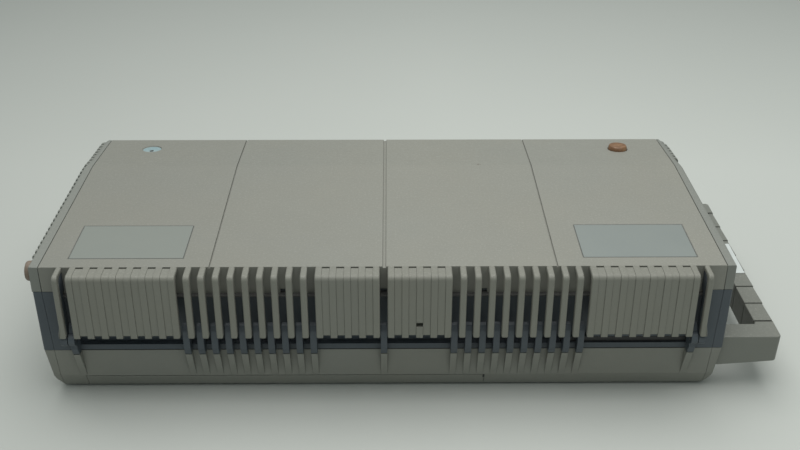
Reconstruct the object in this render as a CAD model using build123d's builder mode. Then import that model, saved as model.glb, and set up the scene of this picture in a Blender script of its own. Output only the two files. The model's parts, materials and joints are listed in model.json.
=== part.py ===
from build123d import *
import os

os.makedirs("parts", exist_ok=True)

# ---------------------------------------------------------------- driving sizes (mm)
# X runs along the long side, Y from the hinge side (front) to the rear, Z up.
# The origin is the middle of the base, at the level of the table.
pitch = 9.2              # spacing of the comb along the front
slot_w = 4.9             # width of a slot of the comb
fin_w = 4.2              # fin that stands in a slot
comb_half = 209.6        # outer side of the last finger
y_front = -102.0         # front wall of lid, middle and base
y_finger = -115.0        # front face of the comb fingers
y_rear = 115.0
z_base = 2.0             # underside of the base shell, on feet
z_seam_low = 36.5        # base to middle section
z_seam_high = 81.75      # middle section to lid
z_top = 100.0
y_crease = 48.2          # the lid's top slopes down behind this line
y_back_edge = 110.4
z_back_edge = 93.8
wall = 2.4
seam_x = 219.8           # seam between shells and end caps, at the lid
seam_x_low = 218.2       # the same seam at the base
end_x = 225.8            # outer face of the end caps
hinge_y, hinge_z = -109.0, 50.0
key_u = 18.8             # key spacing
key_travel = 3.2
screen_axis_y, screen_axis_z = -70.0, 66.6
handle_top, handle_low, handle_root = 42.2, 22.4, 19.4
handle_front, handle_rear = -97.6, 96.4
handle_out = 265.4       # outer face of the handle, pulled out
handle_bar = 13.1
cell_r, cell_len = 13.1, 50.0

open_slots = [-22] + list(range(-14, -4)) + [0] + list(range(5, 15)) + [22]
closed_slots = list(range(-21, -14)) + list(range(-4, 0)) + list(range(1, 5)) + list(range(15, 22))
slope = (z_top - z_back_edge) / (y_back_edge - y_crease)


def lid_z(y):
    return z_top if y <= y_crease else z_top - (y - y_crease) * slope


# ================================================================ LID (keyboard housing)
lid_outline = [(y_front, 81.9), (y_front, z_top), (y_crease, z_top), (y_back_edge, z_back_edge), (y_rear, 88.6), (y_rear, 81.9)]
lid_inside = [(y_front + wall, 80.0), (y_front + wall, 97.6), (48.0, 97.6), (109.5, 91.5), (112.6, 87.9), (112.6, 80.0)]
foot_y = 87.5
foot_plane_left = Plane(origin=(-183, foot_y, lid_z(foot_y)), x_dir=(1, 0, 0), z_dir=(0, slope, 1))
foot_plane_right = Plane(origin=(183.7, foot_y - 2.0, lid_z(foot_y - 2.0)), x_dir=(1, 0, 0), z_dir=(0, slope, 1))

with BuildPart() as lid_shell:
    # hollow cover, open towards the keys
    with BuildSketch(Plane.YZ.offset(-seam_x)):
        with BuildLine():
            Polyline(*lid_outline, close=True)
        make_face()
    extrude(amount=2 * seam_x)
    with BuildSketch(Plane.YZ.offset(-(seam_x - wall))):
        with BuildLine():
            Polyline(*lid_inside, close=True)
        make_face()
    extrude(amount=2 * (seam_x - wall), mode=Mode.SUBTRACT)
    # comb that hangs over the front: one bent profile, cut into fingers below
    with BuildSketch(Plane.YZ.offset(-comb_half)):
        with BuildLine():
            Polyline((-101.6, 96.4), (-101.6, z_top), (-112.6, z_top))
            ThreePointArc((-112.6, z_top), (-114.3, 99.3), (y_finger, 97.6))
            Polyline((y_finger, 97.6), (y_finger, 53.8), (-110.3, 53.8), (-110.3, 92.6), (-106.6, 96.4), (-101.6, 96.4))
        make_face()
    extrude(amount=2 * comb_half)
    # lip along the foot of the front wall, behind the comb
    with Locations((0, -103.6, 80.0)):
        Box(2 * 204.6, 3.8, 1.2)
    with Locations((0, -100.8, 80.8)):
        Box(2 * 209.4, 2.4, 2.8)
    # open slots
    with Locations(*[(i * pitch, -109.0, 77.4) for i in open_slots]):
        Box(slot_w, 14.0, 54.0, mode=Mode.SUBTRACT)
    with Locations(*[(i * pitch, -103.7, 80.0) for i in open_slots]):
        Box(slot_w, 3.6, 1.2)
    # closed slots stand back a little, with a dash at the top and a notch at the foot
    with Locations(*[(i * pitch, -115.0, 77.0) for i in closed_slots]):
        Box(slot_w, 0.8, 60.0, mode=Mode.SUBTRACT)
    with Locations(*[(i * pitch, -108.9, 100.0) for i in closed_slots]):
        Box(slot_w, 13.0, 0.6, mode=Mode.SUBTRACT)
    with Locations(*[(i * pitch, -103.0, 99.0) for i in closed_slots]):
        Box(slot_w, 1.3, 3.0, mode=Mode.SUBTRACT)
    with Locations(*[(i * pitch, -112.8, 53.7) for i in closed_slots]):
        Box(slot_w, 6.0, 2.6, mode=Mode.SUBTRACT)
    with Locations(*[(i * pitch + s * (slot_w / 2 - 0.25), -114.6, 77.0) for i in closed_slots for s in (-1, 1)]):
        Box(0.5, 1.8, 60.0, mode=Mode.SUBTRACT)
    # peg holes in the comb and in the wall behind it
    with Locations((2.5 * pitch, -114.5, 64.0)):
        Box(4.3, 4.0, 3.4, mode=Mode.SUBTRACT)
    with Locations((-7 * pitch, -101.0, 82.1), (0, -101.0, 82.1), (7 * pitch, -101.0, 82.1)):
        Box(4.4, 3.2, 3.0, mode=Mode.SUBTRACT)
    # panel grooves across the top, bending at the crease
    for gx, gw, gd in ((-111.0, 0.8, 0.9), (0.4, 2.0, 0.6), (111.0, 0.8, 0.9)):
        with BuildSketch(Plane.YZ.offset(gx - gw / 2)):
            with BuildLine():
                Polyline((-103, 101), (y_crease, 101), (112, 94.8), (112, lid_z(112) - gd), (y_crease, z_top - gd), (-103, z_top - gd), close=True)
            make_face()
        extrude(amount=gw, mode=Mode.SUBTRACT)
    # beds of the two nameplates
    with Locations((-166.2, -68.6, 99.8), (166.2, -68.6, 99.8)):
        Box(74.8, 45.0, 1.2, mode=Mode.SUBTRACT)
    # beds of the two round feet
    with BuildSketch(foot_plane_left):
        Circle(7.5)
    extrude(amount=-0.9, mode=Mode.SUBTRACT)
    with BuildSketch(foot_plane_right):
        Circle(7.55)
    extrude(amount=-0.9, mode=Mode.SUBTRACT)
    # pillars that take the keyboard plate
    with Locations(*[(x, -80, 94.5) for x in (-214, -70, 70, 214)]):
        Cylinder(2.6, 7.0)
    with Locations(*[(x, 70, 93.8) for x in (-214, -70, 70, 214)]):
        Cylinder(2.6, 5.6)
    with Locations(*[(x, y, 92.5) for x in (-214, -70, 70, 214) for y in (-80, 70)]):
        Cylinder(1.3, 5.0, mode=Mode.SUBTRACT)
    # slots of the two lid catches in the rear wall
    with Locations((-147.5, 114.0, 85.2), (152.5, 114.0, 85.2)):
        Box(30.0, 6.0, 4.4, mode=Mode.SUBTRACT)

with BuildPart() as lid_cap_left:
    with BuildSketch(Plane.YZ.offset(-end_x)):
        with BuildLine():
            Polyline(*lid_outline, close=True)
        make_face()
    extrude(amount=end_x - seam_x - 0.25)
    chamfer(lid_cap_left.faces().sort_by(Axis.X)[0].edges().sort_by(Axis.Z)[1:], 0.6)
    # grip ribs on the end
    with Locations(*[(-end_x - 0.6, 48.0 - 6.28 * k, 90.6) for k in range(22)]):
        Box(2.4, 3.1, 14.4)
    for k in range(1, 10):
        rib_top = lid_z(48.0 + 6.28 * k + 1.6) - 2.2
        with Locations((-end_x - 0.6, 48.0 + 6.28 * k, (83.4 + rib_top) / 2)):
            Box(2.4, 3.1, rib_top - 83.4)

with BuildPart() as lid_cap_right:
    with BuildSketch(Plane.YZ.offset(seam_x + 0.25)):
        with BuildLine():
            Polyline(*lid_outline, close=True)
        make_face()
    extrude(amount=end_x - seam_x - 0.25)
    chamfer(lid_cap_right.faces().sort_by(Axis.X)[-1].edges().sort_by(Axis.Z)[1:], 0.6)
    # grip ribs, only over the slope
    for k in range(3, 10):
        rib_top = lid_z(48.0 + 6.28 * k + 1.6) - 2.2
        with Locations((end_x + 0.6, 48.0 + 6.28 * k, (83.4 + rib_top) / 2)):
            Box(2.4, 3.1, rib_top - 83.4)

with BuildPart() as nameplates:
    with Locations((-166.2, -68.6, 99.58), (166.2, -68.6, 99.58)):
        Box(74.3, 44.5, 0.7)
    fillet(nameplates.edges().filter_by(Axis.Z), 1.0)

# round rubber foot on the slope, and the one on the left end
with BuildPart() as lid_foot:
    with BuildSketch(foot_plane_right.offset(-0.88)):
        Circle(7.4)
    with BuildSketch(foot_plane_right.offset(3.3)):
        Circle(6.3)
    loft()
    fillet(lid_foot.faces().sort_by(Axis.Z)[-1].edges(), 0.7)

with BuildPart() as end_foot_front:
    with BuildSketch(Plane(origin=(-end_x - 0.02, -94.6, 93.3), x_dir=(0, 1, 0), z_dir=(-1, 0, 0))):
        Circle(6.6)
    extrude(amount=3.8, taper=8)
    fillet(end_foot_front.faces().sort_by(Axis.X)[0].edges(), 0.8)

# ---------------------------------------------------------------- keyboard
x_keys = -22.5 * key_u / 2
row_y = [-52.0, -52.0 + key_u + 6.0]
for _ in range(4):
    row_y.append(row_y[-1] + key_u)
nav, pad = 15.25, 18.5
key_sets = {
    "key_escape": [(0, 0, 1, 1)],
    "keys_function": [(u, 0, 1, 1) for u in (2, 3, 4, 5, 6.5, 7.5, 8.5, 9.5, 11, 12, 13, 14)],
    "keys_system": [(nav + u, 0, 1, 1) for u in range(3)],
    "keys_number_row": [(u, 1, 1, 1) for u in range(13)],
    "key_backspace": [(13, 1, 2, 1)],
    "keys_upper_row": [(0, 2, 1.5, 1)] + [(1.5 + u, 2, 1, 1) for u in range(12)] + [(13.5, 2, 1.5, 1)],
    "keys_home_row": [(0, 3, 1.75, 1)] + [(1.75 + u, 3, 1, 1) for u in range(11)],
    "key_enter": [(12.75, 3, 2.25, 1)],
    "key_shift_left": [(0, 4, 2.25, 1)],
    "keys_lower_row": [(2.25 + u, 4, 1, 1) for u in range(10)],
    "key_shift_right": [(12.25, 4, 2.75, 1)],
    "keys_control_row": [(0, 5, 1.5, 1), (2.5, 5, 1.5, 1), (11, 5, 1.5, 1), (13.5, 5, 1.5, 1)],
    "key_space": [(4, 5, 7, 1)],
    "keys_editing": [(nav + u, r, 1, 1) for u in range(3) for r in (1, 2)],
    "keys_cursor": [(nav + 1, 4, 1, 1)] + [(nav + u, 5, 1, 1) for u in range(3)],
    "keys_number_pad": [(pad + u, 1, 1, 1) for u in range(4)]
    + [(pad + u, r, 1, 1) for u in range(3) for r in (2, 3, 4)]
    + [(pad + 3, 2, 1, 2), (pad + 3, 4, 1, 2), (pad, 5, 2, 1), (pad + 2, 5, 1, 1)],
}


def key_box(u, row, w, h):
    # middle and size of one key's place
    x = x_keys + (u + w / 2) * key_u
    y = row_y[row] + (h - 1) * key_u / 2
    return x, y, w * key_u, h * key_u


key_nodes = {}
z_cap_foot, z_cap_face = 83.0, 74.9
for key_name, places in key_sets.items():
    with BuildPart() as key_group:
        for place in places:
            kx, ky, kw, kh = key_box(*place)
            with BuildSketch(Plane(origin=(kx, ky, z_cap_foot), x_dir=(1, 0, 0), z_dir=(0, 0, -1))):
                RectangleRounded(kw - 0.8, kh - 0.8, 0.8)
            extrude(amount=z_cap_foot - z_cap_face, taper=13)
            with Locations((kx, ky, z_cap_foot + 1.35)):
                Box(5.0, 5.0, 2.9)
    key_nodes[key_name] = key_group

# windows of the keyboard cover: (low u, row, width, height) in key spacings
windows = [
    (0, 0, 1, 1), (2, 0, 4, 1), (6.5, 0, 4, 1), (11, 0, 4, 1), (nav, 0, 3, 1),
    (0, 1, 15, 4), (0, 5, 1.5, 1), (2.5, 5, 10, 1), (13.5, 5, 1.5, 1),
    (nav, 1, 3, 2), (nav + 1, 4, 1, 1), (nav, 5, 3, 1), (pad, 1, 4, 5),
]
with BuildPart() as keyboard_bezel:
    with Locations((0, 6.4, 83.4)):
        Box(2 * (seam_x - wall) - 0.4, 211.6, 2.0)
    for place in windows:
        kx, ky, kw, kh = key_box(*place)
        with Locations((kx, ky, 83.4)):
            Box(kw + 0.2, kh + 0.2, 4.0, mode=Mode.SUBTRACT)
    # collars up to the lid's pillars
    with Locations(*[(x, y, 87.6) for x in (-214, -70, 70, 214) for y in (-80, 70)]):
        Cylinder(2.6, 6.6)
    with Locations(*[(x, y, 86.0) for x in (-214, -70, 70, 214) for y in (-80, 70)]):
        Cylinder(1.3, 12.0, mode=Mode.SUBTRACT)
    # posts that carry the key plate
    with Locations(*[(x, y, 86.75) for x in (-200, -100, 0, 72.85, 133.95, 205) for y in (-39.6, 61.5)]):
        Cylinder(1.6, 4.9)
    # slots for the hooks of the catches
    with Locations((-147, 108.9, 83.4), (153, 108.9, 83.4)):
        Box(26.0, 3.2, 4.0, mode=Mode.SUBTRACT)

with BuildPart() as key_plate:
    with Locations((0, 1.5, 89.9)):
        Box(424.0, 126.0, 1.2)
    with Locations(*[(x, y, 89.9) for x in (-180, -60, 60, 180) for y in (-40, 10)]):
        Cylinder(1.6, 3.0, mode=Mode.SUBTRACT)

with BuildPart() as keyboard_circuit:
    with Locations((0, -1.0, 91.4)):
        Box(422.0, 119.0, 1.6)
    with Locations((-120, -40, 93.6), (-60, -40, 93.6), (90, -42, 93.6)):
        Box(36.0, 14.0, 2.8)

# ---------------------------------------------------------------- lid hinge
arm_low, arm_high = 205.05, 209.35
with BuildPart() as hinge_arms:
    for side_x in (arm_low, -arm_high):
        with BuildSketch(Plane.YZ.offset(side_x)):
            with BuildLine():
                Polyline((-102.1, 96.0), (-106.2, 96.0), (-110.1, 92.0), (-110.1, 53.6), (-112.2, 53.2), (-113.2, 51.8), (-113.2, 48.2), (-111.0, 45.8), (-107.0, 45.8), (-104.7, 48.0), (-104.7, 60.0), (-105.6, 80.0), (-105.6, 83.3), (-102.1, 83.3), close=True)
            make_face()
        extrude(amount=arm_high - arm_low)
    with Locations((arm_low - 5, hinge_y, hinge_z), (-arm_low + 5, hinge_y, hinge_z)):
        Cylinder(2.05, 30.0, rotation=(0, 90, 0), mode=Mode.SUBTRACT)

with BuildPart() as hinge_pins:
    with Locations((204.85, hinge_y, hinge_z), (-204.85, hinge_y, hinge_z)):
        Cylinder(2.0, 9.0, rotation=(0, 90, 0))

# ---------------------------------------------------------------- lid catches
catch_nodes = {}
for catch_name, cx in (("lid_catch_left", -150.0), ("lid_catch_right", 150.0)):
    with BuildPart() as lid_catch:
        with Locations((cx, 113.5, 85.2)):
            Box(18.0, 2.4, 3.8)
        with Locations(*[(cx + d, 114.75, 85.2) for d in (-5, -2.5, 0, 2.5, 5)]):
            Box(0.9, 0.4, 3.4)
        with Locations((cx, 111.0, 85.6)):
            Box(8.0, 3.0, 1.8)
        with Locations((cx - 2.5, 108.9, 81.0)):
            Box(3.0, 1.8, 11.4)
        # toe that slides under the keeper
        with Locations((cx + 0.5, 108.9, 76.3)):
            Box(9.0, 1.8, 2.0)
    catch_nodes[catch_name] = lid_catch

# ================================================================ SCREEN
with BuildPart() as screen_back:
    with BuildSketch(Plane.YZ.offset(-204.0)):
        with BuildLine():
            Line((screen_axis_y, 60.3), (46.0, 60.3))
            Line((46.0, 60.3), (46.0, 66.6))
            Line((46.0, 66.6), (screen_axis_y - 6.3, 66.6))
            ThreePointArc((screen_axis_y - 6.3, 66.6), (screen_axis_y - 4.455, 62.145), (screen_axis_y, 60.3))
        make_face()
    extrude(amount=268.0)
    with Locations((-70.0, -8.0, 65.5)):
        Box(236.0, 96.0, 6.0, mode=Mode.SUBTRACT)
    with Locations((-203.0, screen_axis_y, screen_axis_z), (63.0, screen_axis_y, screen_axis_z)):
        Cylinder(2.0, 14.0, rotation=(0, 90, 0), mode=Mode.SUBTRACT)

with BuildPart() as screen_bezel:
    with BuildSketch(Plane.YZ.offset(-204.0)):
        with BuildLine():
            Line((46.0, 66.65), (46.0, 71.9))
            Line((46.0, 71.9), (45.0, 72.9))
            Line((45.0, 72.9), (screen_axis_y, 72.9))
            ThreePointArc((screen_axis_y, 72.9), (screen_axis_y - 4.455, 71.055), (screen_axis_y - 6.3, 66.65))
            Line((screen_axis_y - 6.3, 66.65), (46.0, 66.65))
        make_face()
    extrude(amount=268.0)
    with Locations((-70.0, -8.0, 70.0)):
        Box(224.0, 86.0, 12.0, mode=Mode.SUBTRACT)
    # the frame falls away towards the glass
    with BuildSketch(Plane.XY.offset(72.9)):
        with Locations((-70.0, -8.0)):
            Rectangle(236.0, 98.0)
    with BuildSketch(Plane.XY.offset(69.4)):
        with Locations((-70.0, -8.0)):
            Rectangle(224.0, 86.0)
    loft(mode=Mode.SUBTRACT)
    with Locations((-203.0, screen_axis_y, screen_axis_z), (63.0, screen_axis_y, screen_axis_z)):
        Cylinder(2.0, 14.0, rotation=(0, 90, 0), mode=Mode.SUBTRACT)

with BuildPart() as lcd_glass:
    with Locations((-70.0, -8.0, 65.2)):
        Box(235.4, 95.4, 2.6)

with BuildPart() as screen_pins:
    with Locations((-204.6, screen_axis_y, screen_axis_z), (64.6, screen_axis_y, screen_axis_z)):
        Cylinder(2.0, 9.0, rotation=(0, 90, 0))

# ================================================================ MIDDLE SECTION (dark)
# fin that stands up in a slot of the comb, and its foot on the base
fin_mid = [(-101.0, 36.62), (-101.0, 42.0), (-102.6, 52.0), (-104.0, 58.2), (-105.6, 60.2), (-107.3, 58.8), (-108.8, 55.2), (-109.4, 50.0), (-109.4, 42.0), (-106.9, 36.62)]
fin_base = [(-101.0, 35.9), (-106.6, 35.9), (-98.0, 13.4), (-96.6, 13.4)]
well_x0, well_x1, well_y0, well_y1 = -206.0, 66.0, -80.0, 48.0

with BuildPart() as mid_shell:
    with BuildSketch(Plane.YZ.offset(-221.0)):
        with BuildLine():
            Polyline((y_front, 36.62), (y_front, 81.6), (y_rear, 81.6), (y_rear, 36.62), close=True)
        make_face()
    extrude(amount=442.0)
    # the ends lean in a little towards the base
    with BuildSketch(Plane.XZ):
        with BuildLine():
            Polyline((-seam_x, 82.0), (seam_x, 82.0), (seam_x_low, 36.6), (-seam_x_low, 36.6), close=True)
        make_face()
    extrude(amount=130.0, both=True, mode=Mode.INTERSECT)
    # room behind the comb
    with Locations((0, -100.0, 61.4)):
        Box(2 * (comb_half + 0.4), 6.0, 40.8, mode=Mode.SUBTRACT)
    # inside, from below up to the deck
    with Locations((0, 9.0, 54.2)):
        Box(432.8, 207.2, 35.2, mode=Mode.SUBTRACT)
    # inside the rim, above the deck
    with Locations((0, 9.0, 79.6)):
        Box(432.8, 207.2, 12.0, mode=Mode.SUBTRACT)
    # well of the screen
    with Locations(((well_x0 + well_x1) / 2, (well_y0 + well_y1) / 2, 65.9)):
        Box(well_x1 - well_x0 + 4.0, well_y1 - well_y0 + 4.0, 15.4)
    with Locations(((well_x0 + well_x1) / 2, (well_y0 + well_y1) / 2, 67.0)):
        Box(well_x1 - well_x0, well_y1 - well_y0, 14.0, mode=Mode.SUBTRACT)
    with Locations((-206.0, screen_axis_y, screen_axis_z), (66.0, screen_axis_y, screen_axis_z)):
        Cylinder(2.06, 6.4, rotation=(0, 90, 0), mode=Mode.SUBTRACT)
    # fins
    for i in open_slots:
        with BuildSketch(Plane.YZ.offset(i * pitch - fin_w / 2)):
            with BuildLine():
                Polyline(*fin_mid, close=True)
            make_face()
        extrude(amount=fin_w)
    # knuckles of the lid hinge on the last fins
    with Locations((-22 * pitch, hinge_y, hinge_z), (22 * pitch, hinge_y, hinge_z)):
        Cylinder(4.4, fin_w, rotation=(0, 90, 0))
    with Locations((-22 * pitch, hinge_y, hinge_z), (22 * pitch, hinge_y, hinge_z)):
        Cylinder(2.0, fin_w + 1.0, rotation=(0, 90, 0), mode=Mode.SUBTRACT)
    # thicker wall in front of the handle's arm
    with Locations((171.95, -97.4, 43.6)):
        Box(75.9, 5.8, 5.6)
    with Locations((177.1, -89.55, 39.4)):
        Box(83.2, 17.1, 6.8, mode=Mode.SUBTRACT)
    # way out of the handle, on the right end
    with Locations((217.0, -0.4, 39.5)):
        Box(6.0, 195.4, 6.6, mode=Mode.SUBTRACT)
    # windows of the two drives
    with Locations((217.5, -43.2, 58.8), (217.5, 59.8, 58.8)):
        Box(8.0, 101.6, 25.6, mode=Mode.SUBTRACT)
    # bay of the rear sockets
    with Locations((-22.0, 114.0, 54.0)):
        Box(204.0, 6.0, 21.0, mode=Mode.SUBTRACT)
    # bearings of the two wheels and rails of the power switch, under the deck
    with Locations(*[(wx + s * 3.9, 82.0, 68.8) for wx in (-80.0, -50.0) for s in (-1, 1)]):
        Box(1.8, 7.0, 6.4)
    with Locations((-80.0, 82.0, 68.0), (-50.0, 82.0, 68.0)):
        Cylinder(1.55, 12.0, rotation=(0, 90, 0), mode=Mode.SUBTRACT)
    with Locations((0.0, 77.3, 69.8), (0.0, 86.7, 69.8)):
        Box(44.0, 1.2, 4.4)
    with Locations((0.0, 77.6, 67.9), (0.0, 86.4, 67.9)):
        Box(44.0, 1.8, 0.7)
    # sound slots, control wheels, switch and lamps in the deck
    with Locations(*[(-150.0 + 5.0 * k, 80.0, 72.7) for k in range(-4, 5)]):
        Box(2.0, 34.0, 4.0, mode=Mode.SUBTRACT)
    with Locations((-80.0, 82.0, 72.7), (-50.0, 82.0, 72.7)):
        Box(4.8, 17.4, 4.0, mode=Mode.SUBTRACT)
    with Locations((0.0, 82.0, 72.7)):
        Box(18.0, 5.6, 4.0, mode=Mode.SUBTRACT)
    with Locations((110.0, -87.0, 72.7), (122.0, -87.0, 72.7), (134.0, -87.0, 72.7)):
        Cylinder(2.6, 4.0, mode=Mode.SUBTRACT)
    # keepers of the lid catches, inside the rear wall
    with Locations((-140.5, 110.4, 79.4), (159.5, 110.4, 79.4)):
        Box(7.0, 4.6, 2.6)

mid_outline = [(y_front, 36.62), (y_front, 81.6), (y_rear, 81.6), (y_rear, 36.62)]
with BuildPart() as mid_cap_left:
    with BuildSketch(Plane.YZ.offset(-226.0)):
        with BuildLine():
            Polyline(*mid_outline, close=True)
        make_face()
    extrude(amount=9.0)
    with BuildSketch(Plane.XZ):
        with BuildLine():
            Polyline((-seam_x - 0.2, 82.0), (-end_x, 82.0), (-225.2, 36.6), (-seam_x_low - 0.2, 36.6), close=True)
        make_face()
    extrude(amount=130.0, both=True, mode=Mode.INTERSECT)
    chamfer(mid_cap_left.faces().sort_by(Axis.X)[0].edges().filter_by(Axis.Y, reverse=True), 0.8)

with BuildPart() as mid_cap_right:
    with BuildSketch(Plane.YZ.offset(217.0)):
        with BuildLine():
            Polyline(*mid_outline, close=True)
        make_face()
    extrude(amount=9.0)
    with BuildSketch(Plane.XZ):
        with BuildLine():
            Polyline((seam_x + 0.2, 82.0), (end_x, 82.0), (225.2, 36.6), (seam_x_low + 0.2, 36.6), close=True)
        make_face()
    extrude(amount=130.0, both=True, mode=Mode.INTERSECT)
    chamfer(mid_cap_right.faces().sort_by(Axis.X)[-1].edges().filter_by(Axis.Y, reverse=True), 0.8)
    with Locations((222.0, -0.4, 39.5)):
        Box(10.0, 195.4, 6.6, mode=Mode.SUBTRACT)
    with Locations((222.0, -43.2, 58.8), (222.0, 59.8, 58.8)):
        Box(10.0, 101.6, 25.6, mode=Mode.SUBTRACT)

# ================================================================ BASE (light)
base_outline = [(y_front, 36.4), (-98.0, 13.2), (-92.6, z_base), (108.0, z_base), (y_rear, 12.0), (y_rear, 36.4)]
base_inside = [(-99.6, 37.0), (-95.7, 13.6), (-91.2, 4.4), (107.0, 4.4), (112.6, 12.8), (112.6, 37.0)]
base_outer_end = 224.7
bat_x0, bat_x1 = -201.6, 68.0

with BuildPart() as base_shell:
    with BuildSketch(Plane.YZ.offset(-seam_x_low)):
        with BuildLine():
            Polyline(*base_outline, close=True)
        make_face()
    extrude(amount=2 * seam_x_low)
    with BuildSketch(Plane.YZ.offset(-(seam_x_low - wall))):
        with BuildLine():
            Polyline(*base_inside, close=True)
        make_face()
    extrude(amount=2 * (seam_x_low - wall), mode=Mode.SUBTRACT)
    # feet of the fins, fading into the wall
    for i in open_slots:
        with BuildSketch(Plane.YZ.offset(i * pitch - fin_w / 2)):
            with BuildLine():
                Polyline(*fin_base, close=True)
            make_face()
        extrude(amount=fin_w)
    # opening of the battery bay: underside and lower front edge
    with Locations(((bat_x0 + bat_x1) / 2, -67.0, 6.0)):
        Box(bat_x1 - bat_x0, 74.0, 13.2, mode=Mode.SUBTRACT)
    # way out of the handle, and room for its arm beside the front wall
    with Locations((217.0, -0.4, 28.35)):
        Box(6.0, 195.4, 18.9, mode=Mode.SUBTRACT)
    with Locations((176.0, -96.1, 28.35)):
        Box(84.0, 4.0, 18.9, mode=Mode.SUBTRACT)
    # rails under the handle's arms
    with Locations((180.0, -88.0, 11.55), (180.0, 82.0, 11.55)):
        Box(50.0, 3.0, 14.5)
    # pillars for the case screws; they carry the main board and the drives
    with Locations(*[(x, y, 23.4) for x in (-185.0, 0.0) for y in (-18.0, 98.0)]):
        Cylinder(4.2, 38.2)
    with Locations((140.0, -18.0, 25.5), (140.0, 98.0, 25.5)):
        Cylinder(4.2, 42.4)
    # low posts of the modem board
    with Locations(*[(x, y, 8.1) for x in (-160.0, -40.0) for y in (0.0, 80.0)]):
        Cylinder(2.5, 7.8)
    with Locations(*[(x, y, 15.0) for x in (-185.0, 0.0, 140.0) for y in (-18.0, 98.0)]):
        Cylinder(1.6, 30.0, mode=Mode.SUBTRACT)
    with Locations(*[(x, y, 2.8) for x in (-185.0, 0.0, 140.0) for y in (-18.0, 98.0)]):
        Cylinder(3.1, 3.0, mode=Mode.SUBTRACT)
    # shallow round beds of the rubber feet
    with Locations((-211.0, -80.0, 2.0), (196.0, -78.0, 2.0), (-196.0, 92.0, 2.0), (196.0, 92.0, 2.0)):
        Cylinder(5.9, 1.0, mode=Mode.SUBTRACT)

cap_nodes = {}
for cap_name, s in (("base_cap_left", -1), ("base_cap_right", 1)):
    with BuildPart() as base_cap:
        with BuildSketch(Plane.YZ.offset(217.0 if s > 0 else -226.0)):
            with BuildLine():
                Polyline(*base_outline, close=True)
            make_face()
        extrude(amount=9.0)
        # the end rounds in to the underside
        with BuildSketch(Plane.XZ):
            with BuildLine():
                Polyline((s * 218.4, 3.0), (s * 218.4, 37.0), (s * base_outer_end, 37.0), (s * 222.9, 14.6))
                ThreePointArc((s * 222.9, 14.6), (s * 221.4, 7.6), (s * 218.4, 3.0))
            make_face()
        extrude(amount=130.0, both=True, mode=Mode.INTERSECT)
        if s > 0:
            with Locations((222.0, -0.4, 28.35)):
                Box(10.0, 195.4, 18.9, mode=Mode.SUBTRACT)
    cap_nodes[cap_name] = base_cap

with BuildPart() as battery_cover:
    # follows the lower front edge and the underside; pulled forward 4.5 mm it is unhooked and comes off downwards
    with BuildSketch(Plane.YZ.offset(bat_x0 + 0.3)):
        with BuildLine():
            Polyline((-97.72, 12.3), (-92.6, z_base), (-30.3, z_base), (-30.3, 4.2), (-91.4, 4.2), (-95.6, 12.3), close=True)
        make_face()
    extrude(amount=bat_x1 - bat_x0 - 0.6)
    # tongue over the base behind the opening
    with Locations((-68.0, -30.0, 5.3)):
        Box(220.0, 6.0, 1.4)
    with Locations((-68.0, -31.8, 4.3)):
        Box(220.0, 2.6, 1.0)

with BuildPart() as battery_tray:
    # lid and walls of the bay, open below
    with Locations((-68.0, -61.1, 21.2)):
        Box(276.0, 60.4, 26.8)
    with Locations((-68.0, -61.1, 19.9)):
        Box(273.0, 57.4, 26.4, mode=Mode.SUBTRACT)
    with Locations((-68.0, -61.9, 32.3)):
        Box(270.0, 1.0, 2.0)

cell_places = [(-176.0 + 50.6 * k, y, 19.4) for k in range(5) for y in (-75.6, -48.2)]
with BuildPart() as battery_cells:
    with Locations(*cell_places):
        Cylinder(cell_r, cell_len - 2.0, rotation=(0, 90, 0))
    with Locations(*[(x + 24.0 + 0.8, y, z) for x, y, z in cell_places]):
        Cylinder(3.2, 1.6, rotation=(0, 90, 0))

# ---------------------------------------------------------------- handle, shown pulled out
with BuildPart() as handle:
    # the arms grow deeper towards the case
    with BuildSketch(Plane.XZ.offset(-handle_rear)):
        with BuildLine():
            Polyline((176, handle_root), (226, handle_root), (handle_out, handle_low), (handle_out, handle_top), (176, handle_top), close=True)
        make_face()
    extrude(amount=handle_rear - handle_front)
    with Locations(((170 + handle_out - handle_bar) / 2, (77.4 - 81.8) / 2, 35.0)):
        Box(handle_out - handle_bar - 170, 77.4 + 81.8, 60.0, mode=Mode.SUBTRACT)
    fillet(handle.edges().filter_by(Axis.Z).group_by(Axis.X)[-1], 2.2)
    # the rear arm is narrower where it passes a pillar of the base
    with Locations((178.0, 95.4, 30.0)):
        Box(11.0, 4.0, 30.0, mode=Mode.SUBTRACT)
    # thin tails of the arms, inside the case
    with Locations((164.0, -88.0, 34.0), (164.0, 82.0, 34.0)):
        Box(26.0, 8.0, 14.0)
    # grip grooves round the bar
    with Locations(*[(handle_out - handle_bar / 2, -78.0 + 22.4 * k, handle_top) for k in range(8)]):
        Box(handle_bar + 1.0, 0.9, 1.6, mode=Mode.SUBTRACT)
    with Locations(*[(handle_out, -78.0 + 22.4 * k, 32.0) for k in range(8)]):
        Box(1.6, 0.9, 24.0, mode=Mode.SUBTRACT)

# ---------------------------------------------------------------- drives
with BuildPart() as drive_units:
    for dy in (-43.2, 59.8):
        with Locations((147.8, dy, 58.6)):
            Box(125.0, 99.0, 23.6)
        with Locations((165.0, dy, 60.0)):
            Box(92.0, 93.0, 5.4, mode=Mode.SUBTRACT)

with BuildPart() as drive_bezels:
    for dy in (-43.2, 59.8):
        with Locations((217.4, dy, 58.8)):
            Box(13.4, 100.8, 25.0)
        with Locations((217.4, dy, 60.0)):
            Box(14.0, 92.0, 5.0, mode=Mode.SUBTRACT)
        # finger dip at the middle of the slot
        with Locations((224.1, dy, 60.0)):
            Box(6.0, 26.0, 12.0, mode=Mode.SUBTRACT)
        with Locations((217.4, dy + 34.0, 51.4)):
            Box(14.0, 12.6, 5.8, mode=Mode.SUBTRACT)

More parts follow.
